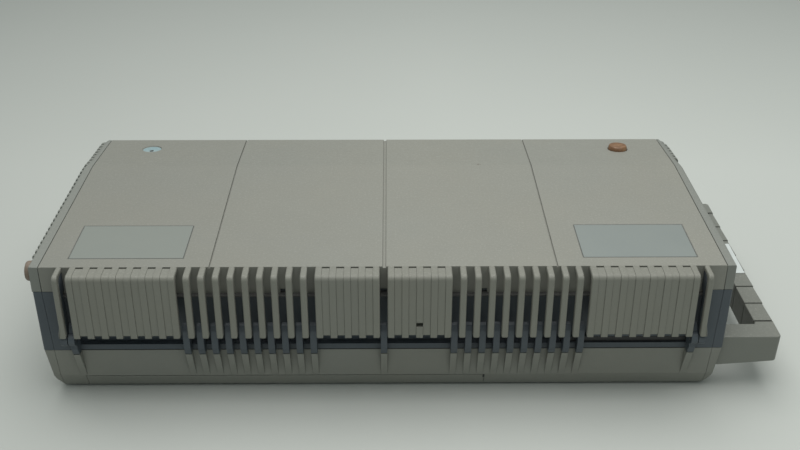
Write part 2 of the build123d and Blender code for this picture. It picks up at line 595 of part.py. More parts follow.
button_nodes = {}
for button_name, dy in (("drive_button_a", -43.2), ("drive_button_b", 59.8)):
    with BuildPart() as drive_button:
        with Locations((221.1, dy + 34.0, 51.4)):
            Box(9.0, 12.0, 5.2)
        fillet(drive_button.faces().sort_by(Axis.X)[-1].edges(), 0.6)
    button_nodes[button_name] = drive_button

# ---------------------------------------------------------------- electronics
with BuildPart() as main_board:
    with Locations((-70.0, 38.0, 43.4)):
        Box(276.0, 124.0, 1.6)
    with Locations((-170, 20, 46.2), (-120, 20, 46.2), (-60, 20, 46.2), (0, 20, 46.2)):
        Box(38.0, 15.0, 4.0)
    with Locations(*[(-180.0 + 24.0 * k, y, 46.0) for k in range(10) for y in (52.0, 78.0)]):
        Box(8.0, 19.0, 3.6)

with BuildPart() as modem_board:
    with Locations((-100.0, 40.0, 12.8)):
        Box(130.0, 90.0, 1.6)
    with Locations((-130, 50, 16.6), (-80, 40, 16.6)):
        Box(30.0, 24.0, 6.0)
    with Locations((-60, 70, 15.6)):
        Box(16.0, 16.0, 4.0)

with BuildPart() as speaker:
    with BuildSketch(Plane.XZ.offset(-80.0)):
        with BuildLine():
            Polyline((-150, 56.0), (-141, 56.0), (-141, 62.0), (-126, 69.2), (-124.5, 69.2), (-124.5, 71.2), (-128.0, 71.2), (-146, 63.4), (-150, 63.4), close=True)
        make_face()
    revolve(axis=Axis((-150, 80, 0), (0, 0, 1)))

# rear sockets: a steel panel, with the shells of the sockets standing on it
socket_x = [(-92.0, 53.0), (-32.0, 39.0), (16.0, 31.0)]
jack_x = (45.0, 62.0)
with BuildPart() as rear_panel:
    with Locations((-22.0, 109.3, 54.4)):
        Box(212.0, 1.4, 27.0)
    with Locations(*[(x, 109.3, 54.0) for x, w in socket_x]):
        Box(14.0, 4.0, 6.0, mode=Mode.SUBTRACT)
    with Locations(*[(x, 109.3, 54.0) for x in jack_x]):
        Box(6.0, 4.0, 5.0, mode=Mode.SUBTRACT)

with BuildPart() as rear_sockets:
    for x, w in socket_x:
        with Locations((x, 111.2, 54.0)):
            Box(w, 2.2, 12.4)
        with Locations((x, 113.2, 54.0)):
            Box(w - 14.0, 2.6, 9.4)
        with Locations((x, 113.6, 54.0)):
            Box(w - 16.0, 3.0, 7.0, mode=Mode.SUBTRACT)
    for x in jack_x:
        with Locations((x, 111.9, 54.0)):
            Box(13.0, 3.6, 13.0)
        with Locations((x, 112.9, 54.0)):
            Box(8.6, 3.0, 7.0, mode=Mode.SUBTRACT)

# ---------------------------------------------------------------- controls
wheel_nodes = {}
for wheel_name, wx in (("contrast_wheel", -80.0), ("volume_wheel", -50.0)):
    with BuildPart() as wheel:
        with BuildSketch(Plane.YZ.offset(wx - 2.0)):
            with Locations((82.0, 68.0)):
                Circle(8.0)
        extrude(amount=4.0)
        with BuildSketch(Plane.YZ.offset(wx - 2.0)):
            with Locations((82.0, 68.0)):
                with PolarLocations(8.0, 36):
                    Rectangle(0.7, 0.7)
        extrude(amount=4.0, mode=Mode.SUBTRACT)
        with Locations((wx, 82.0, 68.0)):
            Cylinder(1.5, 9.0, rotation=(0, 90, 0))
    wheel_nodes[wheel_name] = wheel

with BuildPart() as power_switch:
    with Locations((-3.0, 82.0, 71.6)):
        Box(10.0, 4.8, 6.4)
    with Locations((-3.0, 82.0, 69.2)):
        Box(30.0, 8.0, 1.6)
    fillet(power_switch.faces().sort_by(Axis.Z)[-1].edges(), 0.6)

with BuildPart() as indicator_lamps:
    with Locations((110.0, -87.0, 73.1), (122.0, -87.0, 73.1), (134.0, -87.0, 73.1)):
        Cylinder(2.5, 3.4)
    fillet(indicator_lamps.faces().filter_by(Plane.XY).group_by(Axis.Z)[-1].edges(), 0.8)

# ---------------------------------------------------------------- feet and screws
with BuildPart() as base_feet:
    with Locations((-211.0, -80.0, 1.25), (196.0, -78.0, 1.25), (-196.0, 92.0, 1.25), (196.0, 92.0, 1.25)):
        Cylinder(5.6, 2.5)
    fillet(base_feet.faces().filter_by(Plane.XY).group_by(Axis.Z)[0].edges(), 0.4)

with BuildPart() as end_feet_rear:
    for fz, fx in ((68.0, -225.74), (24.0, -224.24)):
        with BuildSketch(Plane(origin=(fx, 96.0, fz), x_dir=(0, 1, 0), z_dir=(-1, 0, 0))):
            Circle(6.6)
        extrude(amount=229.0 + fx)

with BuildPart() as case_screws:
    with Locations(*[(x, y, 3.3) for x in (-185.0, 0.0, 140.0) for y in (-18.0, 98.0)]):
        Cylinder(2.9, 1.8)
    with Locations(*[(x, y, 13.2) for x in (-185.0, 0.0, 140.0) for y in (-18.0, 98.0)]):
        Cylinder(1.5, 18.0)
    with Locations(*[(x, y, 2.6) for x in (-185.0, 0.0, 140.0) for y in (-18.0, 98.0)]):
        Box(3.6, 0.8, 1.0, mode=Mode.SUBTRACT)
        Box(0.8, 3.6, 1.0, mode=Mode.SUBTRACT)

# ---------------------------------------------------------------- one STEP for each piece
pieces = {
    "lid_shell": lid_shell, "lid_cap_left": lid_cap_left, "lid_cap_right": lid_cap_right,
    "nameplates": nameplates,
    "lid_foot": lid_foot, "end_foot_front": end_foot_front,
    "keyboard_bezel": keyboard_bezel, "key_plate": key_plate, "keyboard_circuit": keyboard_circuit,
    "hinge_arms": hinge_arms, "hinge_pins": hinge_pins,
    "screen_back": screen_back, "screen_bezel": screen_bezel, "lcd_glass": lcd_glass, "screen_pins": screen_pins,
    "mid_shell": mid_shell, "mid_cap_left": mid_cap_left, "mid_cap_right": mid_cap_right,
    "base_shell": base_shell, "battery_cover": battery_cover, "battery_tray": battery_tray, "battery_cells": battery_cells,
    "handle": handle,
    "drive_units": drive_units, "drive_bezels": drive_bezels,
    "main_board": main_board, "modem_board": modem_board, "speaker": speaker,
    "rear_panel": rear_panel, "rear_sockets": rear_sockets,
    "power_switch": power_switch, "indicator_lamps": indicator_lamps,
    "base_feet": base_feet, "end_feet_rear": end_feet_rear, "case_screws": case_screws,
    **key_nodes, **catch_nodes, **cap_nodes, **button_nodes, **wheel_nodes,
}
for node_name, piece in pieces.items():
    piece.part.label = node_name
    export_step(piece.part, f"parts/{node_name}.step")
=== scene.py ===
import json
import math
import bpy
import bmesh
import numpy as np
from mathutils import Matrix, Vector


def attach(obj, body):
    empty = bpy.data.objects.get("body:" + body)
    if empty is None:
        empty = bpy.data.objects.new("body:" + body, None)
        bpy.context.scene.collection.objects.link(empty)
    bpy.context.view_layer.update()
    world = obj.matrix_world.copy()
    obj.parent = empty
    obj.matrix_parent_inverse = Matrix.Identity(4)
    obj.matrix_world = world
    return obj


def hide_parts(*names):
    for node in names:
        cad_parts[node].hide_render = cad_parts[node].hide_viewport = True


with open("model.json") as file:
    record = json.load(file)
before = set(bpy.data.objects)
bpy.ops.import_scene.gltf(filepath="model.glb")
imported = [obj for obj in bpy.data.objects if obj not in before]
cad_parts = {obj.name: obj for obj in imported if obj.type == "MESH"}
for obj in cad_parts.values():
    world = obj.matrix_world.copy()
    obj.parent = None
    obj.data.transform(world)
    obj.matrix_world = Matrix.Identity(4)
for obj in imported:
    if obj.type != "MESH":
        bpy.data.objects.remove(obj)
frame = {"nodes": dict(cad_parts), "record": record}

scene = bpy.context.scene
nodes = frame["nodes"]
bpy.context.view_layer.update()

# ------------------------------------------------------------------ sizes, in millimetres, as in the case's construction
PITCH = 9.2
SLOT_W = 4.9
OPEN = [-22] + list(range(-14, -4)) + [0] + list(range(5, 15)) + [22]
CLOSED = list(range(-21, -14)) + list(range(-4, 0)) + list(range(1, 5)) + list(range(15, 22))
SLOPE = 6.2 / 62.2


# ================================================================== mesh helpers
def fillet(points, radii, seg=4):
    """A closed outline with its corners rounded to the given radii."""
    out = []
    n = len(points)
    for i in range(n):
        r = radii[i]
        b = Vector(points[i])
        if r <= 0:
            out.append((b.x, b.y))
            continue
        a, c = Vector(points[i - 1]), Vector(points[(i + 1) % n])
        u, v = (a - b), (c - b)
        lu, lv = u.length, v.length
        u.normalize(), v.normalize()
        ang = u.angle(v)
        t = min(r / math.tan(ang / 2), 0.49 * lu, 0.49 * lv)
        r = t * math.tan(ang / 2)
        centre = b + (u + v).normalized() * (r / math.sin(ang / 2))
        p1, p2 = b + u * t - centre, b + v * t - centre
        a1 = math.atan2(p1.y, p1.x)
        d = (math.atan2(p2.y, p2.x) - a1 + math.pi) % (2 * math.pi) - math.pi
        for k in range(seg + 1):
            th = a1 + d * k / seg
            out.append((centre.x + r * math.cos(th), centre.y + r * math.sin(th)))
    return out


def at(axis, u, v, w):
    return {"x": (w, u, v), "y": (u, w, v), "z": (u, v, w)}[axis]


def prism(bm, pts, a, b, axis="x", ra=0.0, rb=0.0, seg=2, keep=None):
    """A closed solid with outline pts from a to b along the axis. ra and rb round the rims, but not where keep(edge middle) is true."""
    va = [bm.verts.new(at(axis, u, v, a)) for u, v in pts]
    vb = [bm.verts.new(at(axis, u, v, b)) for u, v in pts]
    n = len(pts)
    fa, fb = bm.faces.new(va), bm.faces.new(list(reversed(vb)))
    faces = [fa, fb] + [bm.faces.new((va[i], vb[i], vb[(i + 1) % n], va[(i + 1) % n])) for i in range(n)]
    bmesh.ops.recalc_face_normals(bm, faces=faces)

    def rim(face, r):
        if r > 0:
            edges = [e for e in face.edges if not (keep and keep((e.verts[0].co + e.verts[1].co) / 2))]
            bmesh.ops.bevel(bm, geom=edges, offset=r, offset_type="OFFSET", segments=seg, profile=0.5, affect="EDGES", clamp_overlap=False)

    rim(fa, ra)
    rim(fb, rb)


def block(bm, lo, hi, r=0.3, seg=2):
    """A rounded box between two corners."""
    m = Matrix.Translation(((lo[0] + hi[0]) / 2, (lo[1] + hi[1]) / 2, (lo[2] + hi[2]) / 2)) @ Matrix.Diagonal((hi[0] - lo[0], hi[1] - lo[1], hi[2] - lo[2], 1))
    made = bmesh.ops.create_cube(bm, size=1.0, matrix=m)
    if r > 0:
        edges = list({e for v in made["verts"] for e in v.link_edges})
        bmesh.ops.bevel(bm, geom=edges, offset=r, offset_type="OFFSET", segments=seg, profile=0.5, affect="EDGES", clamp_overlap=False)


def lathe(bm, profile, place, segs=56, wobble=None):
    """A turned solid: profile is (radius, height) from the axis at one end to the axis at the other."""
    rings = []
    for r, h in profile:
        if r < 1e-6:
            rings.append([bm.verts.new(place @ Vector((0, 0, h)))])
        else:
            rings.append([bm.verts.new(place @ Vector((r * math.cos(2 * math.pi * k / segs), r * math.sin(2 * math.pi * k / segs), h + (wobble(r, 2 * math.pi * k / segs) if wobble else 0)))) for k in range(segs)])
    for a, b in zip(rings, rings[1:]):
        for k in range(segs):
            j = (k + 1) % segs
            if len(a) == 1:
                bm.faces.new((a[0], b[k], b[j]))
            elif len(b) == 1:
                bm.faces.new((a[k], b[0], a[j]))
            else:
                bm.faces.new((a[k], b[k], b[j], a[j]))


def frame_at(origin, normal, up=(0, 1, 0)):
    z = Vector(normal).normalized()
    x = Vector(up).cross(z)
    if x.length < 1e-6:
        x = Vector((1, 0, 0))
    x.normalize()
    y = z.cross(x)
    m = Matrix((x, y, z)).transposed().to_4x4()
    m.translation = Vector(origin)
    return m


def finish_mesh(bm, name, mat, body=None, angle=40, weighted=True, stands_for=()):
    """Millimetre bmesh to an object in metres, smooth with sharp edges kept, riding on its body."""
    bmesh.ops.recalc_face_normals(bm, faces=bm.faces)
    for v in bm.verts:
        # nothing stands above the lid's flat top
        v.co.z = min(v.co.z, 100.0)
    bm.transform(Matrix.Scale(0.001, 4))
    me = bpy.data.meshes.new(name)
    bm.to_mesh(me)
    bm.free()
    ob = bpy.data.objects.new(name, me)
    scene.collection.objects.link(ob)
    me.materials.append(mat)
    me.shade_smooth()
    me.set_sharp_from_angle(angle=math.radians(angle))
    if weighted:
        w = ob.modifiers.new("even_normals", "WEIGHTED_NORMAL")
        w.keep_sharp = True
        w.weight = 60
    if body:
        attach(ob, body)
    if stands_for:
        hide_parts(*stands_for)
    return ob


# ================================================================== materials
def tree(name):
    m = bpy.data.materials.new(name)
    m.use_nodes = True
    m.node_tree.nodes.clear()
    out = m.node_tree.nodes.new("ShaderNodeOutputMaterial")
    sh = m.node_tree.nodes.new("ShaderNodeBsdfPrincipled")
    m.node_tree.links.new(sh.outputs[0], out.inputs[0])
    return m, m.node_tree, sh


def add(nt, kind, **settings):
    n = nt.nodes.new(kind)
    for k, v in settings.items():
        if k.startswith("in_"):
            n.inputs[k[3:].replace("_", " ")].default_value = v
        else:
            setattr(n, k, v)
    return n


def noise(nt, coord, scale, detail=3.0, rough=0.55, stretch=None):
    n = add(nt, "ShaderNodeTexNoise")
    n.inputs["Scale"].default_value = scale
    n.inputs["Detail"].default_value = detail
    n.inputs["Roughness"].default_value = rough
    if stretch:
        mp = add(nt, "ShaderNodeMapping")
        mp.inputs["Scale"].default_value = stretch
        nt.links.new(coord, mp.inputs["Vector"])
        nt.links.new(mp.outputs[0], n.inputs["Vector"])
    else:
        nt.links.new(coord, n.inputs["Vector"])
    return n.outputs["Fac"]


def ramp(nt, fac, lo, hi, a=0.0, b=1.0):
    n = add(nt, "ShaderNodeMapRange")
    n.inputs["From Min"].default_value = lo
    n.inputs["From Max"].default_value = hi
    n.inputs["To Min"].default_value = a
    n.inputs["To Max"].default_value = b
    n.clamp = True
    nt.links.new(fac, n.inputs["Value"])
    return n.outputs["Result"]


def calc(nt, op, a, b=None, c=None):
    n = add(nt, "ShaderNodeMath", operation=op)
    for i, v in enumerate((a, b, c)):
        if v is None:
            continue
        if isinstance(v, (int, float)):
            n.inputs[i].default_value = v
        else:
            nt.links.new(v, n.inputs[i])
    return n.outputs[0]


def mix(nt, fac, a, b, blend="MIX"):
    n = add(nt, "ShaderNodeMix", data_type="RGBA", blend_type=blend)
    for sock, v in ((n.inputs[0], fac), (n.inputs[6], a), (n.inputs[7], b)):
        if isinstance(v, (int, float)):
            sock.default_value = v
        elif isinstance(v, (tuple, list)):
            sock.default_value = (v[0], v[1], v[2], 1)
        else:
            nt.links.new(v, sock)
    return n.outputs[2]


def plastic(name, colour, old, rough=0.52, grain=0.10, grain_scale=2600.0, age=0.5, dust=0.25, soft=0.00035, wear=0.5, spec=0.42, scuffs=0.4):
    """Moulded case plastic: fine spark-eroded grain, slow colour drift with age, pale worn edges, grime and painted
    shade in corners, hairline scuffs.
    """
    m, nt, sh = tree(name)
    co = add(nt, "ShaderNodeTexCoord").outputs["Object"]
    drift = ramp(nt, noise(nt, co, 9.0, 4.0), 0.35, 0.68)
    blotch = ramp(nt, noise(nt, co, 55.0, 4.0, 0.6), 0.3, 0.7)
    speck = ramp(nt, noise(nt, co, 1500.0, 2.0, 0.7), 0.25, 0.75)
    col = mix(nt, calc(nt, "MULTIPLY", drift, age), colour, old)
    col = mix(nt, calc(nt, "MULTIPLY", blotch, 0.16), col, tuple(c * 0.80 for c in colour))
    col = mix(nt, calc(nt, "MULTIPLY", speck, 0.22), col, tuple(c * 0.72 for c in colour))
    # rounded edges for light, and from them the mask of worn edges
    bev = add(nt, "ShaderNodeBevel", samples=4)
    bev.inputs["Radius"].default_value = soft
    geo = add(nt, "ShaderNodeNewGeometry")
    dot = add(nt, "ShaderNodeVectorMath", operation="DOT_PRODUCT")
    nt.links.new(bev.outputs[0], dot.inputs[0])
    nt.links.new(geo.outputs["True Normal"], dot.inputs[1])
    edge = ramp(nt, dot.outputs["Value"], 0.995, 0.86)
    edge = calc(nt, "MULTIPLY", edge, ramp(nt, noise(nt, co, 260.0, 3.0), 0.42, 0.66))
    col = mix(nt, calc(nt, "MULTIPLY", edge, 0.45 * wear), col, tuple(min(1, c * 1.45 + 0.03) for c in colour))
    # painted shade in corners and narrow gaps: occlusion darkens the colour, broken up by noise like grime
    ao = add(nt, "ShaderNodeAmbientOcclusion", samples=6)
    ao.inputs["Distance"].default_value = 0.004
    grime_and_shade = ramp(nt, ao.outputs["AO"], 0.75, 0.25)
    grime_and_shade = calc(nt, "MULTIPLY", grime_and_shade, ramp(nt, noise(nt, co, 120.0, 3.0), 0.25, 0.7, 0.45, 1.0))
    col = mix(nt, calc(nt, "MULTIPLY", grime_and_shade, 0.55), col, tuple(c * 0.42 for c in colour))
    # a little pale dust on what faces up
    sep = add(nt, "ShaderNodeSeparateXYZ")
    nt.links.new(geo.outputs["Normal"], sep.inputs[0])
    up = ramp(nt, sep.outputs["Z"], 0.55, 0.98)
    dusty = calc(nt, "MULTIPLY", up, ramp(nt, noise(nt, co, 700.0, 5.0, 0.75), 0.52, 0.80))
    col = mix(nt, calc(nt, "MULTIPLY", dusty, dust), col, (0.62, 0.61, 0.56))
    nt.links.new(col, sh.inputs["Base Color"])
    # hairline scuffs, mostly along the case
    scuff = ramp(nt, noise(nt, co, 60.0, 2.0, 0.6, stretch=(0.25, 9.0, 9.0)), 0.62, 0.72)
    rg = calc(nt, "ADD", ramp(nt, noise(nt, co, 340.0, 3.0), 0.3, 0.7, rough - 0.05, rough + 0.06), calc(nt, "MULTIPLY", scuff, 0.06 * scuffs))
    rg = calc(nt, "ADD", rg, calc(nt, "MULTIPLY", edge, -0.12 * wear))
    nt.links.new(rg, sh.inputs["Roughness"])
    sh.inputs["Specular IOR Level"].default_value = spec
    b1 = add(nt, "ShaderNodeBump")
    b1.inputs["Strength"].default_value = grain
    b1.inputs["Distance"].default_value = 0.00012
    nt.links.new(noise(nt, co, grain_scale, 2.0, 0.6), b1.inputs["Height"])
    nt.links.new(bev.outputs[0], b1.inputs["Normal"])
    b2 = add(nt, "ShaderNodeBump")
    b2.inputs["Strength"].default_value = 0.10
    b2.inputs["Distance"].default_value = 0.0006
    nt.links.new(noise(nt, co, 38.0, 3.0), b2.inputs["Height"])
    nt.links.new(b1.outputs[0], b2.inputs["Normal"])
    nt.links.new(b2.outputs[0], sh.inputs["Normal"])
    return m


def metal(name, colour, rough=0.35, brushed=(1, 60, 60), tarnish=0.3, strength=0.12):
    m, nt, sh = tree(name)
    co = add(nt, "ShaderNodeTexCoord").outputs["Object"]
    lines = noise(nt, co, 420.0, 3.0, 0.6, stretch=brushed)
    spots = ramp(nt, noise(nt, co, 90.0, 4.0), 0.45, 0.75)
    col = mix(nt, calc(nt, "MULTIPLY", spots, tarnish), colour, tuple(c * 0.6 for c in colour))
    col = mix(nt, ramp(nt, lines, 0.3, 0.7, 0.0, 0.22), col, tuple(c * 0.75 for c in colour))
    nt.links.new(col, sh.inputs["Base Color"])
    sh.inputs["Metallic"].default_value = 1.0
    nt.links.new(ramp(nt, lines, 0.3, 0.7, rough - 0.07, rough + 0.09), sh.inputs["Roughness"])
    b = add(nt, "ShaderNodeBump")
    b.inputs["Strength"].default_value = strength
    b.inputs["Distance"].default_value = 0.00008
    nt.links.new(lines, b.inputs["Height"])
    bev = add(nt, "ShaderNodeBevel", samples=4)
    bev.inputs["Radius"].default_value = 0.0002
    nt.links.new(bev.outputs[0], b.inputs["Normal"])
    nt.links.new(b.outputs[0], sh.inputs["Normal"])
    return m


def foil(name, colour, second):
    """Printed metallic foil of the two bare plates: satin, with fine streaks and small dents."""
    m, nt, sh = tree(name)
    co = add(nt, "ShaderNodeTexCoord").outputs["Object"]
    streak = noise(nt, co, 500.0, 3.0, 0.6, stretch=(1, 28, 28))
    cloud = ramp(nt, noise(nt, co, 34.0, 3.0), 0.35, 0.7)
    col = mix(nt, calc(nt, "MULTIPLY", cloud, 0.5), colour, second)
    col = mix(nt, ramp(nt, streak, 0.35, 0.7, 0.0, 0.12), col, tuple(c * 0.8 for c in colour))
    nt.links.new(col, sh.inputs["Base Color"])
    sh.inputs["Metallic"].default_value = 0.35
    nt.links.new(ramp(nt, streak, 0.3, 0.7, 0.36, 0.5), sh.inputs["Roughness"])
    b = add(nt, "ShaderNodeBump")
    b.inputs["Strength"].default_value = 0.15
    b.inputs["Distance"].default_value = 0.00015
    nt.links.new(noise(nt, co, 160.0, 2.0), b.inputs["Height"])
    nt.links.new(b.outputs[0], sh.inputs["Normal"])
    return m


def rubber(name, colour, worn, rough=0.55, sheen=0.0, spec=0.4):
    m, nt, sh = tree(name)
    co = add(nt, "ShaderNodeTexCoord").outputs["Object"]
    mottled = ramp(nt, noise(nt, co, 420.0, 4.0, 0.6), 0.35, 0.7)
    cloud = ramp(nt, noise(nt, co, 110.0, 3.0), 0.4, 0.65)
    col = mix(nt, cloud, colour, worn)
    col = mix(nt, calc(nt, "MULTIPLY", mottled, 0.45), col, tuple(c * 0.6 for c in colour))
    nt.links.new(col, sh.inputs["Base Color"])
    nt.links.new(ramp(nt, mottled, 0, 1, rough - 0.08, rough + 0.12), sh.inputs["Roughness"])
    sh.inputs["Specular IOR Level"].default_value = spec
    b = add(nt, "ShaderNodeBump")
    b.inputs["Strength"].default_value = 0.3
    b.inputs["Distance"].default_value = 0.00015
    nt.links.new(noise(nt, co, 1300.0, 3.0, 0.7), b.inputs["Height"])
    nt.links.new(b.outputs[0], sh.inputs["Normal"])
    return m


CASE = (0.243, 0.245, 0.219)
CASE_OLD = (0.256, 0.248, 0.210)
DARK = (0.070, 0.086, 0.102)
M = {}
M["lid_plastic"] = plastic("lid_plastic", CASE, CASE_OLD)


def painted_shade_left(m, x0, x1, most):
    # painted shade: the lid gets a touch darker towards the left
    nt = m.node_tree
    sh = [n for n in nt.nodes if n.type == "BSDF_PRINCIPLED"][0]
    src = sh.inputs["Base Color"].links[0].from_socket
    sep = add(nt, "ShaderNodeSeparateXYZ")
    nt.links.new(add(nt, "ShaderNodeTexCoord").outputs["Object"], sep.inputs[0])
    nt.links.new(mix(nt, ramp(nt, sep.outputs["X"], x0, x1, most, 0.0), src, (0.02, 0.022, 0.022)), sh.inputs["Base Color"])


painted_shade_left(M["lid_plastic"], -0.19, 0.02, 0.13)
M["base_plastic"] = plastic("base_plastic", (0.228, 0.231, 0.209), (0.235, 0.230, 0.197))
M["comb_plastic"] = plastic("comb_plastic", (0.206, 0.208, 0.183), (0.217, 0.212, 0.177), wear=0.9)
M["dark_plastic"] = plastic("dark_plastic", DARK, (0.070, 0.080, 0.090), rough=0.50, dust=0.10, wear=0.8)
M["handle_plastic"] = plastic("handle_plastic", (0.184, 0.192, 0.172), (0.190, 0.189, 0.164), rough=0.45, grain=0.05)
M["bezel_plastic"] = plastic("bezel_plastic", (0.285, 0.282, 0.250), CASE_OLD)
M["key_light"] = plastic("key_light", (0.47, 0.455, 0.395), (0.49, 0.45, 0.36), rough=0.42, grain=0.12, dust=0.1)
M["key_dark"] = plastic("key_dark", (0.165, 0.168, 0.162), (0.18, 0.175, 0.155), rough=0.42, grain=0.12, dust=0.1)
M["tray_plastic"] = plastic("tray_plastic", (0.04, 0.04, 0.042), (0.05, 0.05, 0.05))
M["nameplate_metal"] = foil("nameplate_foil", (0.36, 0.40, 0.40), (0.33, 0.36, 0.37))
M["foot_rubber"] = rubber("foot_rubber", (0.165, 0.080, 0.035), (0.27, 0.145, 0.07), rough=0.42, spec=0.6)
M["end_foot_rubber"] = rubber("end_foot_rubber", (0.190, 0.145, 0.112), (0.230, 0.190, 0.155), rough=0.5)
M["cap_plastic"] = plastic("cap_plastic", (0.205, 0.216, 0.198), (0.212, 0.213, 0.190))
M["black_rubber"] = rubber("black_rubber", (0.022, 0.022, 0.022), (0.045, 0.043, 0.040), rough=0.65)
M["steel"] = metal("steel", (0.52, 0.52, 0.51))
M["zinc_screw"] = metal("zinc_screw", (0.50, 0.50, 0.47), rough=0.3, brushed=(1, 1, 1))
M["drive_metal"] = metal("drive_metal", (0.55, 0.55, 0.54), rough=0.4)
M["socket_metal"] = metal("socket_metal", (0.62, 0.61, 0.58), rough=0.28, brushed=(1, 1, 1))
M["speaker_steel"] = metal("speaker_steel", (0.06, 0.06, 0.06), rough=0.5, brushed=(1, 1, 1))


def board_material():
    m, nt, sh = tree("board")
    co = add(nt, "ShaderNodeTexCoord").outputs["Object"]
    vor = add(nt, "ShaderNodeTexVoronoi", distance="MANHATTAN", feature="DISTANCE_TO_EDGE")
    vor.inputs["Scale"].default_value = 160.0
    nt.links.new(co, vor.inputs["Vector"])
    col = mix(nt, ramp(nt, vor.outputs["Distance"], 0.02, 0.10, 1.0, 0.0), (0.014, 0.085, 0.030), (0.035, 0.16, 0.06))
    sep = add(nt, "ShaderNodeSeparateXYZ")
    nt.links.new(co, sep.inputs[0])
    geo = add(nt, "ShaderNodeNewGeometry")
    spots = ramp(nt, noise(nt, co, 210.0, 2.0), 0.60, 0.64)
    col = mix(nt, calc(nt, "MULTIPLY", spots, 0.5), col, (0.45, 0.43, 0.38))
    nt.links.new(col, sh.inputs["Base Color"])
    nt.links.new(ramp(nt, noise(nt, co, 500.0), 0.3, 0.7, 0.25, 0.42), sh.inputs["Roughness"])
    return m


def lcd_material():
    m, nt, sh = tree("lcd")
    co = add(nt, "ShaderNodeTexCoord").outputs["Object"]
    cloud = ramp(nt, noise(nt, co, 14.0, 2.0), 0.35, 0.7)
    br = add(nt, "ShaderNodeTexBrick", offset=0.0)
    br.inputs["Scale"].default_value = 1.0
    br.inputs["Brick Width"].default_value = 0.00035
    br.inputs["Row Height"].default_value = 0.00042
    br.inputs["Mortar Size"].default_value = 0.00004
    br.inputs["Color1"].default_value = (0.115, 0.135, 0.090, 1)
    br.inputs["Color2"].default_value = (0.120, 0.140, 0.096, 1)
    br.inputs["Mortar"].default_value = (0.10, 0.115, 0.08, 1)
    nt.links.new(co, br.inputs["Vector"])
    col = mix(nt, calc(nt, "MULTIPLY", cloud, 0.5), br.outputs["Color"], (0.085, 0.105, 0.080))
    nt.links.new(col, sh.inputs["Base Color"])
    nt.links.new(ramp(nt, noise(nt, co, 70.0), 0.3, 0.7, 0.10, 0.17), sh.inputs["Roughness"])
    sh.inputs["Coat Weight"].default_value = 0.6
    sh.inputs["Coat Roughness"].default_value = 0.06
    return m


def gloss(name, colour, rough=0.18, dark=0.7):
    m, nt, sh = tree(name)
    co = add(nt, "ShaderNodeTexCoord").outputs["Object"]
    col = mix(nt, ramp(nt, noise(nt, co, 130.0, 3.0), 0.35, 0.7), colour, tuple(c * dark for c in colour))
    nt.links.new(col, sh.inputs["Base Color"])
    nt.links.new(ramp(nt, noise(nt, co, 400.0, 3.0), 0.3, 0.7, rough - 0.04, rough + 0.08), sh.inputs["Roughness"])
    bev = add(nt, "ShaderNodeBevel", samples=4)
    bev.inputs["Radius"].default_value = 0.00025
    nt.links.new(bev.outputs[0], sh.inputs["Normal"])
    return m


M["board"] = board_material()
M["lcd"] = lcd_material()
M["cell"] = gloss("cell_sleeve", (0.08, 0.12, 0.22))
M["lamp"] = gloss("lamp_red", (0.30, 0.025, 0.015), rough=0.12)
M["chip"] = plastic("chip_black", (0.020, 0.020, 0.022), (0.03, 0.03, 0.03), rough=0.4, dust=0.05)
# slot_dark and slot_grey are painted shade: near-black and dark grey for pieces that lie in shadow inside the comb's
# slots
M["slot_dark"] = plastic("slot_dark", (0.055, 0.054, 0.050), (0.06, 0.055, 0.05))
M["slot_grey"] = plastic("slot_grey", (0.072, 0.074, 0.072), (0.075, 0.075, 0.07))
M["speck"] = plastic("speck", (0.115, 0.090, 0.070), (0.12, 0.09, 0.07))
M["glue"] = rubber("old_glue", (0.245, 0.345, 0.368), (0.305, 0.390, 0.400), rough=0.55)
M["outline"] = plastic("plate_outline", (0.120, 0.130, 0.125), (0.12, 0.13, 0.125), dust=0.05)
M["label"] = gloss("blank_label", (0.62, 0.66, 0.65), rough=0.16, dark=0.93)
M["legend"] = gloss("legend_ink", (0.035, 0.036, 0.038), rough=0.4)
M["legend_pale"] = gloss("legend_pale", (0.55, 0.55, 0.50), rough=0.4)

for s in frame["record"]["subparts"]:
    ob = nodes[s["node"]]
    ob.data.materials.clear()
    ob.data.materials.append(M[s["material_slot"]])


# ================================================================== lid: top skin
def lid_z(y):
    return 100.0 if y <= 48.2 else 100.0 - (y - 48.2) * SLOPE


def open_fillet(points, radii, seg):
    """The same rounding on an open line: its two ends stay."""
    closed = fillet(points, [0] + list(radii) + [0], seg)
    return closed


